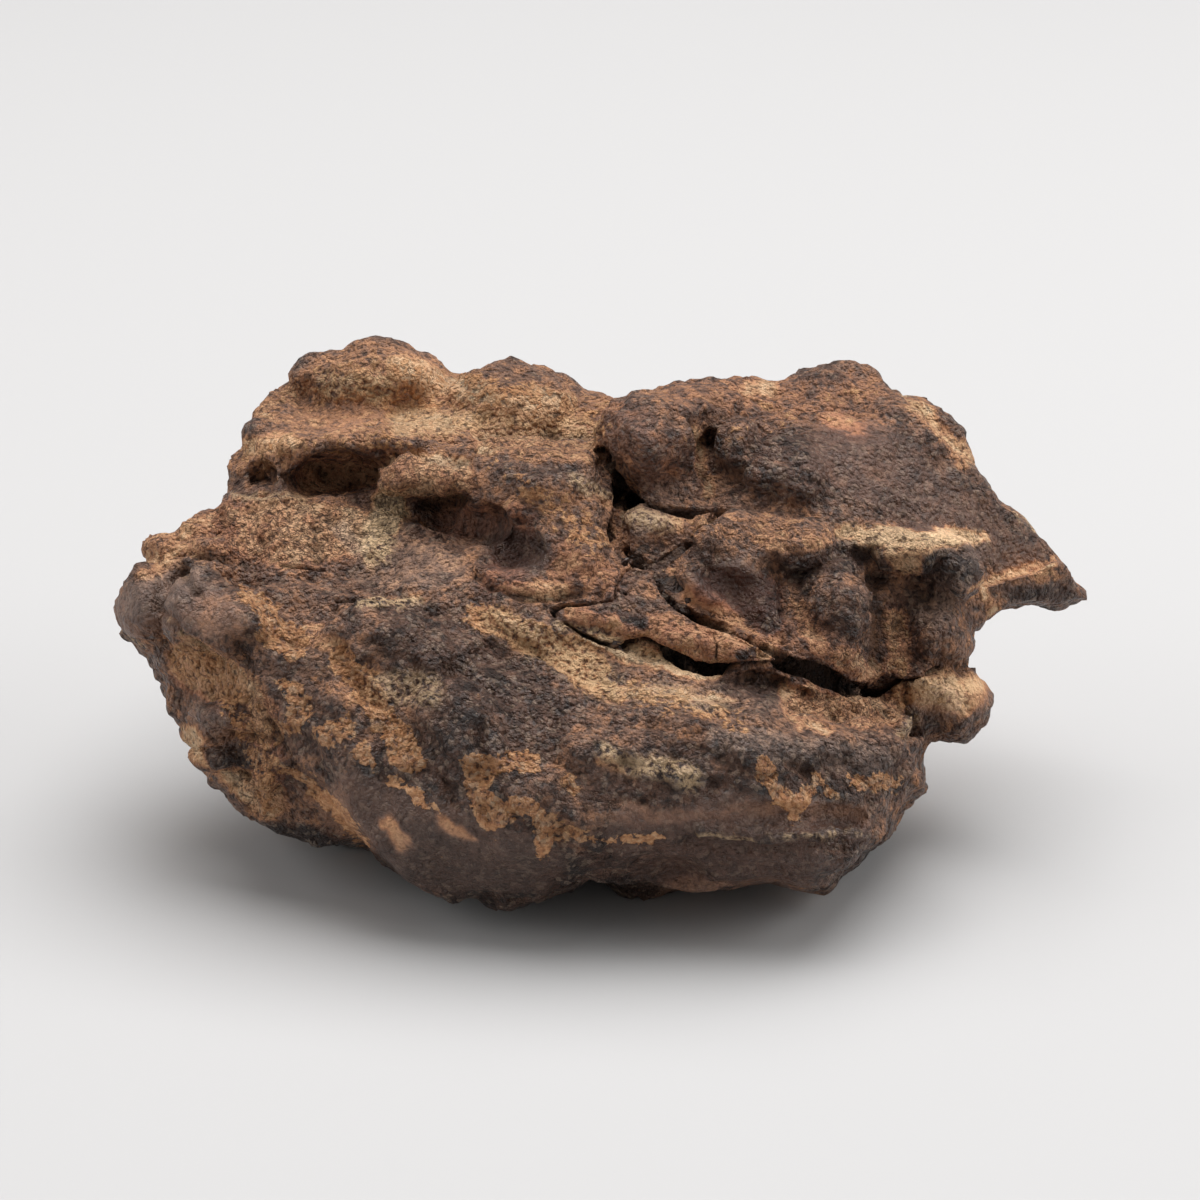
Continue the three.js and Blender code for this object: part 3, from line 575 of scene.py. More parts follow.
# The stone: its fine relief
# Weathering has left the crust knobbly all over, worm-eaten and spongy where rust has crumbled out of it,
# grainy on the dark face, drawn out in fibres on the terrace, and worn smooth on the keel and the knobs.
# Each is brushed on where the stone has it: (how much, soft rim in mm, [(pixel x, pixel y, mm wide), ...]).
surfaces = {}
surfaces["smooth"] = [
    (0.9, 1, [(350, 800, 5), (430, 850, 7), (540, 870, 4)]),
    (0.9, 0.8, [(620, 835, 3), (700, 818, 3), (850, 822, 3)]),
    (0.8, 1, [(660, 875, 4), (800, 865, 4)]),
    (0.4, 1, [(400, 565, 3), (450, 575, 3)]),
    (0.8, 0.6, [(130, 610, 4), (180, 600, 5), (225, 625, 3)]),
    (0.6, 0.8, [(200, 715, 3), (235, 750, 3)]),
    (0.7, 0.8, [(930, 700, 3), (965, 700, 4)]),
    (0.6, 0.6, [(640, 525, 3), (660, 530, 3)]),
    (0.5, 1, [(620, 430, 3), (655, 470, 4)]),
    (0.8, 0.6, [(700, 600, 3), (745, 590, 4)]),
    (0.7, 0.6, [(450, 520, 2), (520, 550, 4)]),
    (0.7, 1, [(850, 450, 6), (940, 500, 5), (1020, 560, 3)]),
    (0.5, 1, [(260, 440, 2), (420, 380, 5)]),
]
surfaces["sponge"] = [
    (1, 0.8, [(240, 530, 4), (300, 528, 5), (350, 525, 4)]),
    (0.8, 0.6, [(385, 515, 3), (385, 545, 2)], [(395, 482, 3), (455, 480, 3)]),
    (0.7, 0.6, [(490, 450, 2), (560, 450, 2)]),
    (0.5, 0.4, [(850, 535, 1), (900, 548, 3), (975, 536, 1)]),
    (0.9, 0.4, [(805, 705, 2), (880, 708, 3)]),
    (0.9, 0.5, [(900, 615, 2), (900, 670, 3)], [(250, 660, 1.5), (262, 730, 2), (250, 790, 2.5)]),
    (0.8, 0.6, [(710, 535, 3), (800, 540, 2)]),
    (0.9, 0.6, [(800, 600, 3), (850, 650, 4)]),
    (0.6, 0.8, [(280, 410, 4), (370, 380, 3)]),
]
surfaces["grain"] = [
    (1, 1, [(300, 650, 4), (400, 680, 9), (560, 750, 6)]),
    (1, 0.8, [(580, 770, 4), (740, 775, 5), (890, 775, 4)]),
    (0.7, 1, [(780, 420, 4), (900, 480, 6)]),
    (0.6, 1, [(480, 470, 4), (590, 520, 5)]),
    (0.7, 0.8, [(420, 800, 4), (520, 810, 4)]),
]
surfaces["fibre"] = [
    (1, 0.8, [(500, 625, 2), (600, 680, 5), (740, 715, 3)]),
    (0.5, 1, [(760, 450, 3), (1000, 540, 4)]),
    (0.4, 0.8, [(700, 525, 2), (830, 530, 2)]),
]


# forms too small for the solid, brushed on as millimetres up (more than nothing) or down
sculpted = [
    (-0.4, 1, [(445, 518, 1.4), (485, 518, 2.4), (508, 545, 2.4)]),
    (-0.6, 0.4, [(468, 572, 0.6), (510, 592, 0.7), (560, 598, 0.6), (600, 592, 0.5)]),
    (0.6, 1.4, [(500, 462, 3), (570, 470, 3.4)]),
    (0.6, 1, [(590, 515, 2.2), (585, 560, 2)]),
    (-0.6, 0.5, [(476, 436, 0.6), (540, 428, 0.7), (598, 436, 0.5)]),
    (-0.5, 0.5, [(452, 468, 0.6), (474, 448, 0.6)]),
    (0.9, 0.7, [(637, 526, 1.8), (665, 530, 1.4)]),
    (0.8, 0.7, [(712, 535, 1.6), (690, 575, 1.6), (712, 602, 1)]),
    (0.5, 1, [(620, 430, 2.2), (650, 460, 2)]),
    (-0.5, 0.4, [(697, 420, 0.8), (702, 490, 0.8)]),
    (0.4, 0.5, [(580, 615, 1), (640, 625, 1.4), (700, 645, 1.8), (750, 655, 1.2)],
     [(700, 522, 1), (760, 518, 1), (830, 528, 1)]),
    (-0.3, 1.2, [(722, 585, 2.2), (752, 605, 2.6)]),
    (-0.6, 0.5, [(776, 560, 0.8), (784, 600, 0.7), (782, 640, 0.7)]),
    (-0.8, 0.5, [(878, 560, 0.8), (884, 610, 1), (880, 655, 0.9)]),
    (0.5, 0.6, [(845, 600, 2.4), (845, 650, 2.4)]),
    (1.2, 1, [(885, 557, 1.4), (925, 557, 1.8)]),
    (0.5, 0.4, [(945, 565, 1.6), (970, 570, 1.6), (955, 590, 1)]),
    (-0.6, 0.4, [(925, 664, 0.7), (960, 666, 0.7), (985, 660, 0.5)]),
    (-0.7, 0.4, [(905, 690, 0.6), (916, 735, 0.6)]),
    (0.5, 0.3, [(900, 725, 0.8), (908, 730, 0.8)]),
    (-0.5, 0.2, [(968, 703, 0.3), (974, 718, 0.3)]),
    (-0.4, 0.7, [(310, 482, 1.2), (345, 474, 1.8), (366, 474, 1.2)]),
    (0.5, 0.5, [(285, 466, 0.6), (306, 456, 0.5), (330, 440, 1), (352, 438, 0.8)]),
    (0.6, 0.5, [(385, 440, 1.2), (400, 446, 1.6), (425, 446, 1.2)]),
    (-0.6, 0.3, [(252, 478, 0.5), (266, 470, 0.5)]),
    (0.9, 0.6, [(392, 482, 1.4), (425, 474, 2), (462, 480, 1.6)]),
    (-0.4, 0.4, [(384, 462, 0.4), (420, 458, 0.5), (470, 460, 0.5)]),
    (-0.6, 0.4, [(376, 500, 0.4), (420, 508, 0.6), (468, 500, 0.6)]),
    (-0.5, 0.3, [(160, 585, 0.4), (163, 610, 0.5), (174, 636, 0.5), (204, 654, 0.5)]),
    (-0.5, 0.4, [(175, 552, 0.5), (215, 552, 0.5), (250, 566, 0.4)]),
    (-0.4, 0.3, [(244, 650, 0.4), (250, 690, 0.4), (268, 730, 0.4), (292, 768, 0.4)]),
    (0.4, 0.5, [(340, 625, 0.6), (365, 605, 0.9), (410, 603, 0.9), (440, 612, 0.5)]),
    (-0.3, 0.5, [(345, 640, 0.6), (380, 640, 1), (430, 636, 0.8)]),
    (0.4, 0.2, [(230, 496, 0.4), (300, 500, 0.4)]),
    (-0.6, 0.4, [(182, 572, 0.8), (198, 592, 0.7)]),
    (-0.8, 0.3, [(207, 736, 0.4), (250, 738, 0.4)]),
    (0.5, 0.5, [(215, 760, 1.4), (245, 762, 1.4)]),
    (0.3, 0.12, [(345, 650, 0.4), (362, 672, 0.6), (378, 692, 0.7), (390, 725, 0.9), (414, 765, 0.6)]),
    (0.4, 0.3, [(470, 622, 0.4), (500, 648, 0.5), (545, 668, 0.5), (600, 704, 0.5), (740, 737, 0.5)],
     [(700, 833, 0.5), (760, 838, 0.5), (860, 832, 0.5)]),
    (-0.5, 0.5, [(690, 850, 0.8), (770, 852, 0.8), (850, 846, 0.6)]),
    (-0.7, 0.5, [(803, 768, 1.2), (808, 772, 1)]),
]


def facing(normals):
    return normals @ np.array(toward_eye)


def brushed(seen, shown, strokes, start=0.0):
    """Paints the strokes one over the other on what the eye sees, and gives how much each place has."""
    amount = np.full(seen.shape[1], start, np.float32)
    for value, soft, *lines in strokes:
        for line in lines:
            under = (1 - smooth_step(line_gap(seen, line), -soft / 2, soft / 2)) * shown
            amount += (value - amount) * under
    return amount


def ragged(points, sway):
    """The places as the eye sees them, shifted a little by noise, which frays the rims of strokes."""
    seen = sight(points)
    for size, share in ((2.4, 0.6), (0.9, 0.3), (0.4, 0.14)):
        for axis in (0, 1):
            shift = noise_at(points, size, (0, 31 + axis * 9, 0))
            seen[axis] += (sway * share * shift).astype(np.float32)
    return seen


def cells(points, size):
    """Distance to the nearest and the second nearest of many scattered seeds, in seed spacings."""
    p = points / size
    home = np.floor(p)
    first = second = np.full(len(p), 9.0)
    for step in np.ndindex(3, 3, 3):
        cell = home + np.array(step) - 1
        mixed = cell @ np.array([[127.1, 269.5, 419.2], [311.7, 183.3, 371.9], [74.7, 246.1, 168.2]])
        raw = np.sin(mixed) * hash_scale
        away = np.sqrt(((cell + raw - np.floor(raw) - p) ** 2).sum(1))
        second = np.minimum(second, np.maximum(first, away))
        first = np.minimum(first, away)
    return first, second


def bumps(points, size, tall, level, groove, groove_width):
    """Round bumps side by side, each a low dome with a narrow groove around it."""
    first, second = cells(points, size)
    return tall * (level - first**2) - groove * (1 - smooth_step(second - first, 0, groove_width))


def relief(points, normals):
    """How far the skin stands up in mm, how much each place has of each kind of surface, and the painted
    shade of its cracks and creases.
    """
    shown = smooth_step(facing(normals), -0.35, 0.0)
    seen = ragged(points, 1.0)
    amount = {}
    for number, (kind, strokes) in enumerate(surfaces.items()):
        wild = smooth_step(noise_at(points, 8, (13 * number, 0, 0)), 0.05, 0.5) * (1 - shown)
        amount[kind] = np.maximum(brushed(seen, shown, strokes), wild)
    calm = 1 - 0.8 * amount["smooth"]
    warp = np.stack([noise_at(points, 1.7, (s, 0, 0)) for s in (3, 17, 29)], 1)
    knobs = bumps(points + 0.8 * warp, 3.1, 0.32, 0.5, 0.2, 0.22)
    grains = bumps(points + 0.35 * warp, 1.25, 0.36, 0.45, 0.12, 0.25)
    worms = np.abs(noise_at(points, 1) + 0.5 * noise_at(points, 0.5, (0, 3, 0)))
    pits = -0.3 * (1 - smooth_step(worms, 0.05, 0.3))
    across = sight(points)
    along = across[0] * 0.94 - across[1] * 0.34 + 0.8 * warp[:, 0]
    over = across[0] * 0.34 + across[1] * 0.94 + 0.3 * warp[:, 1]
    strands = 0.32 * lattice_noise(along / 4.2, over / 0.62, across[2] / 1.6)
    folds = 1 - np.abs(noise_at(points, (4.4, 4.4, 3.4), (5, 0, 0)) + 0.25 * noise_at(points, 1.6))
    folds = 0.38 * (folds**3 - 0.35)
    rough = 0.16 * noise_at(points, 1.3, (0, 5, 0)) + 0.1 * noise_at(points, 0.65)
    flat = 1 - 0.6 * amount["fibre"]
    height = (knobs + folds) * calm * flat * (1 - 0.3 * amount["sponge"])
    height += grains * (0.35 + 0.65 * amount["grain"]) * calm * flat + rough * (0.4 + 0.6 * calm)
    height += pits * amount["sponge"] + strands * amount["fibre"]
    thin = 1 - 0.6 * smooth_step(points[:, 0], 30, 35)
    lowest, highest = -0.9, 0.5
    crack = np.full(len(points), 9.0)
    split = np.zeros(len(points))
    for gap, deep in crack_gaps(points, across):
        crack = np.minimum(crack, gap)
        split = np.maximum(split, crack_cut * deep * (1 - smooth_step(gap, -0.16, 0.06)))
    height = np.clip(height, lowest, highest) * thin * smooth_step(crack, 0.0, 0.5)
    height += brushed(ragged(points, 0.7), shown, sculpted) - split * shown
    # painted shade: a dark line along each crack, for the shade inside it
    amount["crack"] = (1 - smooth_step(crack, -0.16, 0.04)) * shown
    # painted shade: how deep the softly melted forms fill the creases between the sharper ones, which darkens
    # the creases
    filled = -base_field(points, softness=1.0)
    amount["painted_crease_shade"] = smooth_step(filled, 0.1, 0.9)
    return height, amount


def read(name):
    values = np.empty(len(skin.vertices) * 3, np.float32)
    skin.vertices.foreach_get(name, values)
    return values.reshape(-1, 3)


skin = bpy.data.meshes.new("stone")
skin.from_pydata((places + np.array(middle)) * mm, [], quads.tolist())
# the mesh is finer along the cracks, because most are only about as wide as one of its squares
crack_side = 0.7
near_crack = np.min([gap for gap, deep in crack_gaps(places, sight(places))], axis=0) < crack_side
near_crack &= facing(read("normal")) > -0.2
shell = bmesh.new()
shell.from_mesh(skin)
narrow = [edge for edge in shell.edges if all(near_crack[corner.index] for corner in edge.verts)]
bmesh.ops.subdivide_edges(shell, edges=narrow, cuts=2, use_grid_fill=True)
shell.to_mesh(skin)
shell.free()
places = read("co").astype(np.float64) / mm - np.array(middle)
normals = read("normal")
height, amount = relief(places, normals)
lowered = 0.2  # without it the raised knobs would make the stone thicker than the solid
places = places + normals * (height - lowered)[:, None]
box_low, box_high = (np.array(corner) / mm - np.array(middle) for corner in cad_box)
places = np.clip(places, box_low, box_high)
skin.vertices.foreach_set("co", ((places + np.array(middle)) * mm).astype(np.float32).ravel())
skin.update()
skin.shade_smooth()

# The stone: its colours
# Under the rust its crust is dark, purplish-grey iron oxide. Ochre rust and clay sit in its hollows and
# in ragged patches, red-brown rust in the clefts, and pale lime on a few grains and rims. The pale also
# paints light on faces that the lamps leave darker, painted shade darkens the cracks, creases, holes and
# low places, and painted glints light some grains.
# Brushed on one over the other, first the broad zones, then the patches.
paint = {}
paint["rust"] = [
    (0.56, 2, [(330, 385, 5), (450, 400, 7), (590, 415, 4)]),
    (0.85, 0.8, [(400, 420, 1.4), (500, 425, 1.6), (600, 430, 1.4)]),
    (0.5, 1, [(270, 410, 3), (320, 415, 4)]),
    (0.85, 0.8, [(400, 365, 2), (440, 385, 2), (560, 405, 2)]),
    (0.4, 0.8, [(360, 345, 1.2), (440, 352, 1.2), (500, 372, 2), (550, 378, 2)]),
    (0.5, 1, [(240, 455, 3), (340, 440, 2), (430, 445, 2)]),
    (0.8, 0.6, [(250, 443, 1.4), (290, 446, 1.2)]),
    (0.76, 1, [(235, 530, 4), (300, 530, 5), (345, 530, 4)]),
    (1.1, 0.8, [(388, 505, 2.6), (378, 545, 2.8)]),
    (0.38, 1.2, [(400, 560, 4), (450, 580, 4)]),
    (0.8, 0.8, [(395, 478, 3), (455, 475, 3)]),
    (0.66, 1, [(490, 440, 3), (600, 445, 3)]),
    (0.45, 1.2, [(500, 490, 4), (600, 520, 4)]),
    (0.62, 1, [(560, 560, 3), (600, 570, 3)]),
    (0.08, 0.8, [(500, 545, 2.4), (530, 555, 3)]),
    (0.7, 0.6, [(505, 587, 1), (560, 593, 1.4)]),
    (0.6, 1, [(160, 545, 3), (215, 535, 3)]),
    (0.24, 0.8, [(140, 600, 4), (190, 600, 5)]),
    (0.7, 0.3, [(150, 570, 1.2), (170, 562, 1)]),
    (0.34, 0.8, [(215, 620, 3), (300, 580, 2)]),
    (0.85, 1.2, [(190, 660, 3), (240, 700, 4), (260, 730, 2)]),
    (0.85, 0.8, [(190, 740, 2), (270, 800, 2.4)]),
    (0.24, 0.6, [(205, 712, 1.6), (240, 716, 1.6)]),
    (0.12, 0.6, [(215, 758, 2), (245, 760, 2)]),
    (0.14, 1, [(420, 650, 6), (520, 720, 7), (400, 790, 8), (540, 850, 5)]),
    (0.1, 1, [(400, 850, 4), (480, 890, 4), (560, 880, 4), (640, 880, 3)]),
    (0.2, 1, [(290, 680, 4), (330, 760, 3)]),
    (0.16, 0.8, [(590, 775, 4), (740, 775, 5), (890, 780, 3)]),
    (0.12, 0.8, [(620, 850, 4), (840, 850, 5)]),
    (0.6, 0.5, [(310, 635, 1.6), (340, 645, 1.2)]),
    (0.55, 0.4, [(315, 680, 1), (352, 700, 2)]),
    (0.6, 0.4, [(388, 824, 1), (402, 842, 1)], [(445, 828, 1), (470, 838, 0.8)]),
    (0.42, 1, [(480, 620, 2), (570, 650, 3)]),
    (0.36, 1, [(600, 680, 4), (740, 715, 4)]),
    (0.9, 0.4, [(490, 625, 1.4), (520, 645, 1)],
     [(565, 640, 1), (620, 650, 1.2), (680, 668, 1), (720, 676, 0.8)]),
    (0.85, 0.4, [(560, 665, 1), (610, 690, 1.2), (740, 700, 0.4)]),
    (0.25, 0.5, [(525, 625, 1), (540, 632, 0.8)]),
    (0.15, 0.4, [(725, 688, 1.4), (770, 690, 1.4)]),
    (0.8, 0.4, [(785, 690, 1), (792, 722, 1), (830, 732, 0.7)]),
    (0.72, 0.5, [(575, 612, 1), (640, 632, 2.4), (700, 645, 3), (765, 655, 1.6)]),
    (0.15, 0.3, [(625, 615, 1), (645, 622, 1)]),
    (0.2, 0.3, [(744, 656, 1), (752, 655, 1)]),
    (0.74, 0.6, [(800, 705, 2.4), (890, 710, 2.4)]),
    (0.5, 0.4, [(608, 760, 1), (622, 765, 0.6)]),
    (0.46, 0.6, [(640, 520, 3), (670, 525, 2)]),
    (0.36, 1, [(620, 430, 4), (660, 480, 4)]),
    (0.75, 0.4, [(697, 430, 0.9), (702, 490, 1)]),
    (0.2, 0.6, [(725, 440, 2), (730, 455, 2)]),
    (0.42, 1.4, [(650, 392, 1.4), (760, 395, 2.4), (870, 405, 4)]),
    (0.85, 0.4, [(750, 392, 1), (775, 390, 0.8)]),
    (0.6, 0.8, [(835, 420, 1.4), (850, 430, 1.6)]),
    (0.2, 1, [(780, 460, 5), (900, 480, 7), (1000, 540, 4)]),
    (0.15, 0.6, [(800, 455, 2), (810, 465, 2)]),
    (0.7, 0.6, [(915, 405, 1.4), (968, 455, 1.4)]),
    (0.55, 0.8, [(700, 525, 2), (820, 540, 3)]),
    (0.6, 0.8, [(685, 560, 1.4), (690, 600, 1.4), (770, 636, 1.4)]),
    (0.12, 0.6, [(720, 575, 3), (750, 600, 3.6), (770, 620, 2)]),
    (0.3, 0.8, [(810, 570, 3), (860, 600, 4), (840, 640, 4)]),
    (0.12, 0.5, [(790, 570, 1.4), (855, 555, 2)]),
    (0.66, 0.5, [(800, 600, 1), (815, 650, 1.4), (870, 672, 2)]),
    (0.9, 0.15, [(840, 531, 0.4), (880, 540, 1.6), (925, 543, 2.2), (982, 537, 0.7)]),
    (0.9, 0.2, [(890, 552, 2), (915, 564, 2)]),
    (0.14, 0.5, [(945, 570, 3), (970, 575, 2)]),
    (0.72, 0.4, [(895, 615, 1.4), (900, 665, 2)]),
    (0.35, 0.6, [(940, 620, 3), (960, 640, 2)]),
    (0.7, 0.3, [(985, 598, 0.8), (992, 615, 0.8)]),
    (0.75, 0.3, [(960, 598, 0.4), (1010, 572, 0.7), (1055, 560, 0.4)]),
    (0.12, 0.4, [(1010, 595, 1.4), (1068, 598, 1.2)]),
    (0.7, 0.3, [(1034, 574, 0.7), (1052, 575, 0.8)]),
    (0.74, 1, [(930, 690, 3), (965, 695, 3)]),
    (0, 0.8, [(270, 835, 2.4), (350, 858, 2.4)]),
    (0.75, 0.6, [(310, 480, 2), (345, 472, 2.6), (370, 472, 2)]),
]
paint["clay"] = [
    (0.28, 2, [(290, 640, 3), (330, 700, 5), (340, 760, 4)]),
    (0.2, 2, [(450, 780, 4), (540, 800, 4), (640, 800, 3), (820, 790, 4)]),
    (0.8, 1.4, [(480, 618, 2), (560, 650, 2.8), (600, 680, 2.4)]),
    (0.5, 1.4, [(620, 690, 3), (740, 720, 2)]),
    (0.5, 2, [(330, 385, 4), (450, 400, 6), (590, 415, 3)]),
    (0.45, 1.5, [(240, 450, 2), (430, 445, 2)]),
    (0.5, 1.2, [(500, 470, 2), (590, 540, 3)]),
    (0.55, 1.5, [(190, 660, 3), (240, 700, 3), (270, 800, 2)]),
    (0.35, 1.5, [(690, 450, 3), (760, 420, 3), (870, 400, 3)]),
    (0.45, 1, [(600, 630, 2), (750, 655, 1.6)]),
    (0.45, 1.2, [(900, 610, 2), (900, 670, 2)]),
    (0.4, 1.2, [(930, 690, 2.4), (965, 695, 2)]),
    (0.1, 0.8, [(480, 520, 2.6), (520, 550, 3)]),
    (0.05, 0.8, [(335, 472, 2.4), (350, 472, 2.4)]),
    (0.9, 1.4, [(246, 596, 1.3), (266, 609, 1.3)], [(270, 632, 2.3), (292, 640, 2.3)],
     [(342, 655, 1.2), (362, 680, 1.8), (378, 708, 1.9), (398, 738, 2), (412, 765, 1.3)]),
    (0.8, 1.4, [(288, 690, 1.6), (300, 714, 1.5)], [(282, 734, 1.1), (292, 728, 1.1)],
     [(326, 735, 1.3), (350, 729, 1.1)], [(362, 755, 1.3), (372, 764, 1)],
     [(392, 780, 0.7), (425, 804, 0.8), (440, 815, 0.7)]),
    (0.85, 1.4, [(284, 764, 0.7), (322, 795, 0.8), (345, 818, 0.8), (362, 842, 0.7)]),
    (0.9, 1.4, [(480, 792, 1.7), (494, 812, 2.7)]),
    (0.88, 1.4, [(474, 768, 1.3), (500, 768, 1.5), (524, 764, 1.7)]),
    (0.9, 1.4, [(516, 802, 0.8), (534, 812, 1.3), (546, 826, 1.5), (543, 855, 0.8)]),
    (0.85, 1.4, [(552, 826, 0.9), (590, 838, 0.65), (660, 833, 0.55)], [(566, 780, 1), (572, 787, 0.9)]),
    (0.9, 1.4, [(900, 695, 1.3), (908, 702, 1.3)],
     [(767, 765, 1.2), (772, 790, 1.3), (790, 812, 1.2), (806, 795, 1)], [(818, 779, 1), (832, 792, 0.9)]),
    (0.85, 1.4, [(856, 778, 1.1), (896, 784, 0.9)]),
]
paint["red"] = [
    (0.75, 2, [(240, 530, 5), (340, 535, 4)]),
    (0.9, 0.6, [(300, 475, 2), (375, 470, 3)]),
    (0.5, 1, [(400, 480, 3), (460, 485, 3)]),
    (0.9, 0.6, [(450, 520, 2.4), (520, 515, 2), (500, 580, 3)]),
    (0.6, 1.2, [(560, 560, 4), (610, 580, 3)]),
    (0.6, 1.5, [(620, 420, 4), (670, 470, 5)]),
    (0.5, 1.5, [(680, 395, 3), (860, 405, 5)]),
    (0.4, 1.5, [(760, 450, 4), (860, 470, 4)]),
    (1.2, 0.6, [(715, 590, 3), (760, 600, 3.4), (770, 620, 2.4)]),
    (0.7, 0.6, [(580, 612, 1.4), (700, 645, 3), (770, 655, 2)]),
    (0.7, 0.8, [(800, 705, 3), (890, 705, 3)]),
    (0.6, 0.8, [(810, 640, 4), (870, 670, 3)], [(900, 620, 3), (900, 670, 3)]),
    (0.3, 1, [(500, 630, 3), (560, 655, 3)]),
    (0.45, 0.4, [(850, 535, 2), (980, 540, 2.4)]),
    (0.8, 0.8, [(190, 670, 3), (260, 720, 3), (270, 790, 3)], [(835, 420, 2), (850, 430, 2)]),
    (0.35, 0.6, [(480, 800, 3), (540, 820, 3)]),
    (0.4, 2, [(640, 850, 5), (840, 850, 5)]),
]
# pale lime on grains and rims, and painted light: it also lightens the terrace and a patch of the rusty slope
# where the lamps leave them darker
paint["pale"] = [
    (0.6, 0.6, [(330, 385, 2), (385, 385, 2)]),
    (0.5, 0.3, [(235, 494, 0.5), (300, 498, 0.5)]),
    (0.9, 0.8, [(388, 508, 2.4), (378, 545, 2.6)]),
    (0.7, 0.4, [(362, 604, 1), (415, 602, 1)]),
    (0.55, 1, [(500, 625, 2), (560, 652, 2.4), (610, 685, 2)]),
    (0.3, 1, [(640, 690, 1.6), (720, 705, 1.6)]),
    (0.4, 0.8, [(400, 420, 1.4), (500, 424, 1.6), (590, 430, 1.4)]),
    (0.5, 0.6, [(845, 532, 1), (890, 545, 2), (980, 538, 1)]),
    (0.6, 0.6, [(610, 755, 1), (690, 775, 2)]),
    (0.4, 0.8, [(380, 690, 2), (430, 690, 2)]),
    (0.6, 0.3, [(560, 622, 0.6), (620, 645, 0.7), (690, 668, 0.7)]),
    (0.5, 0.6, [(575, 480, 1), (618, 500, 0.6)], [(630, 515, 1.6), (670, 525, 1.6)]),
    (0.5, 0.8, [(930, 690, 2.4), (965, 690, 2)]),
    (0.7, 0.1, [(905, 397, 0.3), (975, 465, 0.25), (1062, 556, 0.3)]),
    (0.5, 0.1, [(700, 837, 0.2), (780, 840, 0.25), (860, 832, 0.2)],
     [(162, 605, 0.2), (172, 632, 0.3), (205, 650, 0.2)], [(118, 635, 0.25), (140, 645, 0.3)]),
    (0.5, 0.6, [(900, 735, 0.8), (915, 720, 0.8)]),
]
paint["grey"] = [
    (0.6, 1, [(140, 600, 3), (190, 580, 3)]),
    (0.5, 1, [(380, 560, 4), (440, 570, 3)]),
    (0.7, 0.8, [(720, 740, 2), (880, 760, 2)]),
    (0.2, 1.2, [(820, 480, 5), (980, 530, 4)]),
    (0.5, 0.8, [(640, 520, 2.4), (680, 485, 2)]),
    (0.4, 0.8, [(640, 695, 2), (760, 700, 3)]),
    (0.6, 0.8, [(930, 610, 3), (970, 560, 2)]),
    (0.5, 0.8, [(945, 700, 3), (905, 730, 1)]),
    (0.4, 1.5, [(420, 860, 5), (520, 870, 4)]),
    (0.4, 0.6, [(200, 712, 2), (240, 716, 2)]),
    (0.6, 0.3, [(340, 525, 1.4), (355, 550, 1.4)]),
]
# how much of each colour the hidden sides have on average
behind = {"rust": 0.3, "clay": 0.2, "red": 0.3, "pale": 0.0, "grey": 0.2}


def stained(points, normals, kind):
    shown = smooth_step(facing(normals), -0.3, 0.05)
    shift = 7 * list(paint).index(kind)
    broad = noise_at(points, 9, (shift, 0, 0)) + 0.6 * noise_at(points, 3.7, (0, shift, 0))
    wild = np.clip(behind[kind] + 0.35 * broad, 0, 1)
    painted = brushed(ragged(points, 0.7), shown, paint[kind], behind[kind])
    return painted * shown + wild * (1 - shown)


def store(name, values):
    layer = skin.attributes.new(name, "FLOAT", "POINT")
    layer.data.foreach_set("value", np.asarray(values, np.float32))


for kind in paint:
    store(kind, stained(places, normals, kind))
for kind in ("smooth", "sponge", "crack", "painted_crease_shade"):
    store(kind, amount[kind])
store("height", height)

crust, tree = new_material("rusted_iron_oxide_crust")
place = node(tree, "TexCoord").outputs["Object"]


def value_of(name):
    return node(tree, "Attribute", {"attribute_name": name}).outputs["Fac"]


def calculate(operation, a, b=0):
    return node(tree, "Math", {"operation": operation}, i0=a, i1=b).outputs[0]


def times(a, b):
    return calculate("MULTIPLY", a, b)


def between(value, low_end, high_end, low_result=0, high_result=1):
    made = node(tree, "MapRange", {"interpolation_type": "SMOOTHSTEP"}, Value=value,
                From_Min=low_end, From_Max=high_end, To_Min=low_result, To_Max=high_result)
    return made.outputs[0]


def noise(size_mm, detail=3, rough=0.55, shift=0):
    moved = node(tree, "VectorMath", {"operation": "ADD"}, i0=place,
                 i1=(shift, shift * 0.7, -shift))
    made = node(tree, "TexNoise", Vector=moved.outputs[0], Scale=1 / (size_mm * mm),
                Detail=detail, Roughness=rough)
    return made.outputs["Fac"]


def ramp(value, *stops):
    made = node(tree, "ValToRGB", Fac=value)
    while len(made.color_ramp.elements) < len(stops):
        made.color_ramp.elements.new(0.5)
    for element, (at, colour) in zip(made.color_ramp.elements, stops):
        element.position = at
        element.color = linear(colour)
    return made.outputs["Color"]


def blend(a, b, share):
    return node(tree, "Mix", {"data_type": "RGBA"}, i0=share, i6=a, i7=b).outputs[2]


def grains(size_mm, sway_mm):
    """A bed of grains: how far each place is from the middle of its grain, and a shade for each grain."""
    shift = node(tree, "TexNoise", Vector=place, Scale=0.7 / (size_mm * mm), Detail=2)
    swayed = node(tree, "VectorMath", {"operation": "MULTIPLY_ADD"}, i0=shift.outputs["Color"],
                  i1=(sway_mm * mm,) * 3, i2=place)
    bed = node(tree, "TexVoronoi", Vector=swayed.outputs[0], Scale=1 / (size_mm * mm))
    shade = node(tree, "SeparateColor", Color=bed.outputs["Color"])
    return bed.outputs["Distance"], shade.outputs[0]


def weighed(*terms):
    """The sum of (value, how much of it), with what counts as the value's middle as a third where needed."""
    total = None
    for value, share, *middles in terms:
        term = node(tree, "Math", {"operation": "MULTIPLY_ADD"}, i0=value, i1=share,
                    i2=-share * sum(middles)).outputs[0]
        total = term if total is None else calculate("ADD", total, term)
    return total


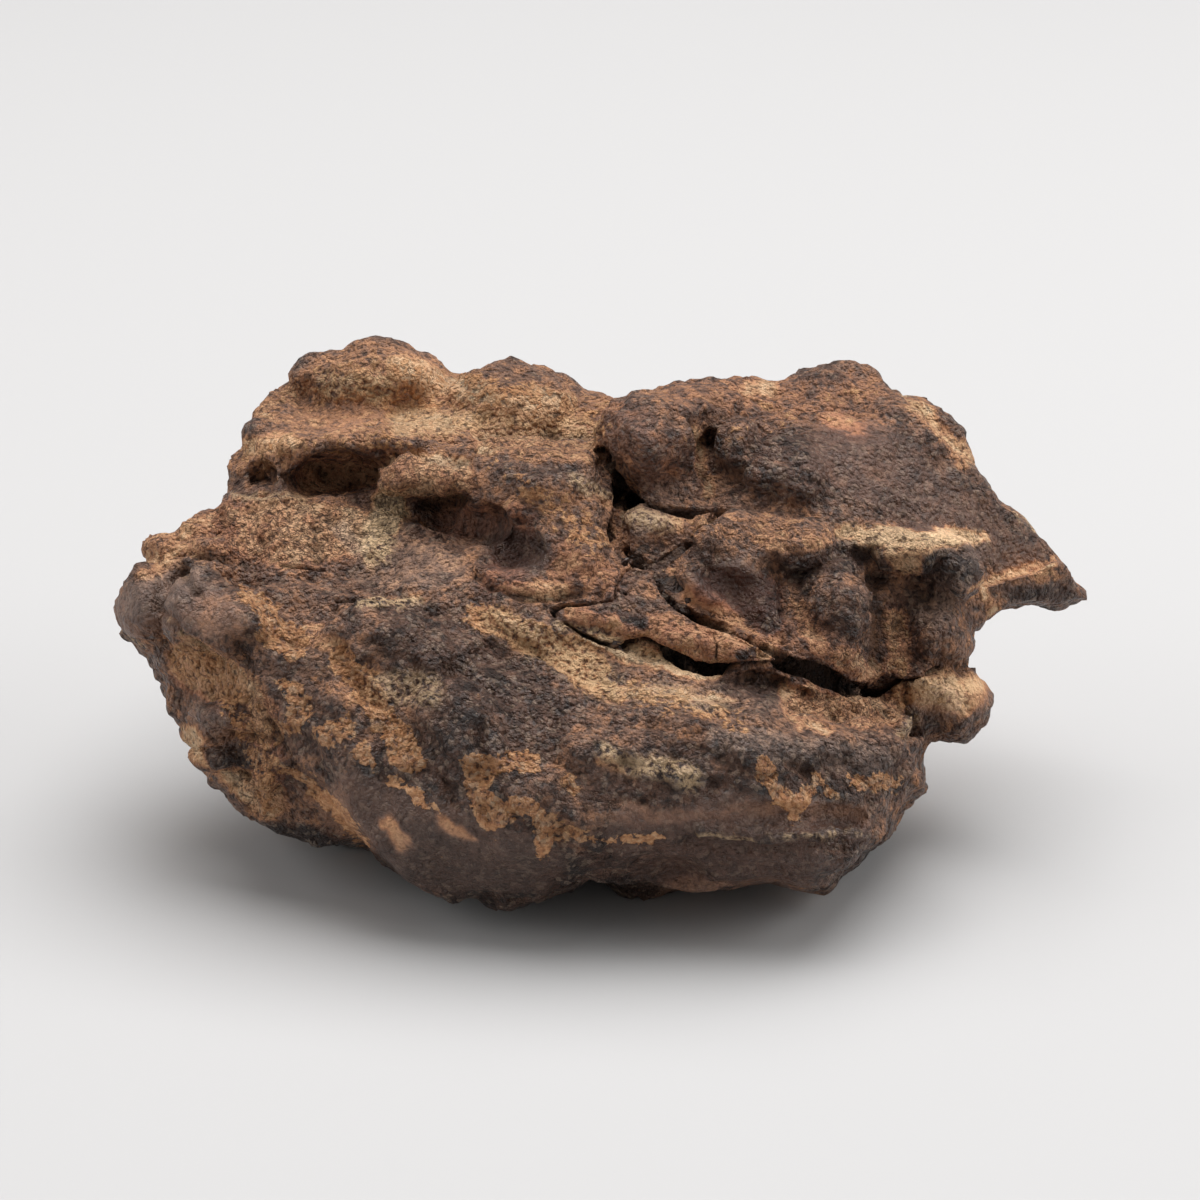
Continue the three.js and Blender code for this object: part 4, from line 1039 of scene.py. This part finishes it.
fine = noise(0.22, 2)
crumb = noise(0.45, 3, 0.55, 0.3)
blotch = noise(1.5, 5, 0.62, 0.7)
small_edge, small_shade = grains(0.36, 0.1)
large_edge, large_shade = grains(0.95, 0.3)
rust = value_of("rust")
half_rusted = times(rust, calculate("SUBTRACT", 1, rust))
raggedness = weighed((half_rusted, 3.4, -0.044))
uneven = between(value_of("smooth"), 0.2, 1, 1, 0.35)
mottle = weighed((crumb, 0.35, 0.5), (blotch, 1, 0.5), (small_shade, 0.16, 0.5), (large_shade, 0.24, 0.5))
mottle = times(times(mottle, uneven), raggedness)
tone = weighed((rust, 1), (mottle, 1), (value_of("height"), -0.16))
oxide_to_rust = ramp(tone, (0, "#2f1f18"), (0.2, "#664838"), (0.36, "#936b50"), (0.54, "#c1875a"),
                     (0.74, "#dea876"), (0.95, "#f6d9b0"))
red_rust = ramp(tone, (0, "#24140f"), (0.3, "#683a27"), (0.55, "#b06c47"), (0.9, "#e2a474"))
grey_oxide = ramp(tone, (0, "#352a26"), (0.3, "#806f65"), (0.55, "#b09f90"), (0.9, "#dec9b0"))
colour = blend(oxide_to_rust, red_rust, value_of("red"))
colour = blend(colour, grey_oxide, times(value_of("grey"), 0.8))
clay_edge = weighed((blotch, 0.9, 0.5), (crumb, 0.7, 0.5), (large_shade, 0.12, 0.5), (value_of("clay"), 1))
clay = between(clay_edge, 0.47, 0.54)
clay_colour = ramp(weighed((crumb, 0.9), (small_shade, 0.25, 0.5)), (0.2, "#8f5a38"), (0.45, "#bf8759"),
                   (0.7, "#dcab7e"), (0.95, "#f0d0a8"))
colour = blend(colour, clay_colour, times(clay, 0.9))
# light grey grains on the dark crust, partly painted glints that stand in for highlights on them
grey_grain_and_painted_glint = times(times(between(small_shade, 0.72, 0.9), between(tone, 0.5, 0.25)), uneven)
colour = blend(colour, linear("#a9937f"), times(grey_grain_and_painted_glint, 0.35))
# pale lime, which is partly painted light on the faces that it lightens
colour = blend(colour, linear("#f2cd9f"), times(value_of("pale"), between(crumb, 0.36, 0.56)))
# worm-shaped holes in the sponge zones, pressed in by the bump and darkened with painted shade
worm = calculate("ABSOLUTE", weighed((noise(0.5, 2, 0.5, 2.1), 1, 0.5)))
sponge_hole_and_shade = times(between(worm, 0.07, 0.01), weighed((value_of("sponge"), 0.6)))
colour = blend(colour, linear("#33190f"), sponge_hole_and_shade)
# painted shade: small dark specks in the low spots between the grains
painted_pit_shade = between(weighed((crumb, 0.8), (small_edge, -0.3)), 0.19, 0.1, 0, 0.65)
colour = blend(colour, linear("#2a1812"), times(painted_pit_shade, uneven))
# painted shade: the lower the relief sits, the darker the colour
deep = between(value_of("height"), -0.1, -0.7)
colour = blend(colour, linear("#23140e"), times(deep, 0.6))
# painted shade along the cracks
colour = blend(colour, linear("#1c110d"), times(value_of("crack"), 0.8))
# painted shade, darker in the creases between the forms
colour = blend(colour, linear("#2a1610"), times(value_of("painted_crease_shade"), 0.5))
crust_relief = weighed((small_edge, -0.7), (large_edge, -0.8), (fine, 0.8, 0.5), (crumb, 1.8, 0.5),
                       (sponge_hole_and_shade, -0.6), (clay, 0.35))
calm = between(value_of("smooth"), 0, 1, 1, 0.35)
bump = node(tree, "Bump", Height=times(crust_relief, calm), Distance=0.7 * mm, Strength=1)
crust_shader = node(tree, "BsdfPrincipled", Base_Color=colour,
                    Roughness=between(tone, 0.15, 0.6, 0.42, 0.88), Normal=bump.outputs[0])
node(tree, "OutputMaterial", Surface=crust_shader.outputs[0])
skin.materials.append(crust)

stone = bpy.data.objects.new("stone", skin)
bpy.context.scene.collection.objects.link(stone)
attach(stone, "root")
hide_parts("meteorite")
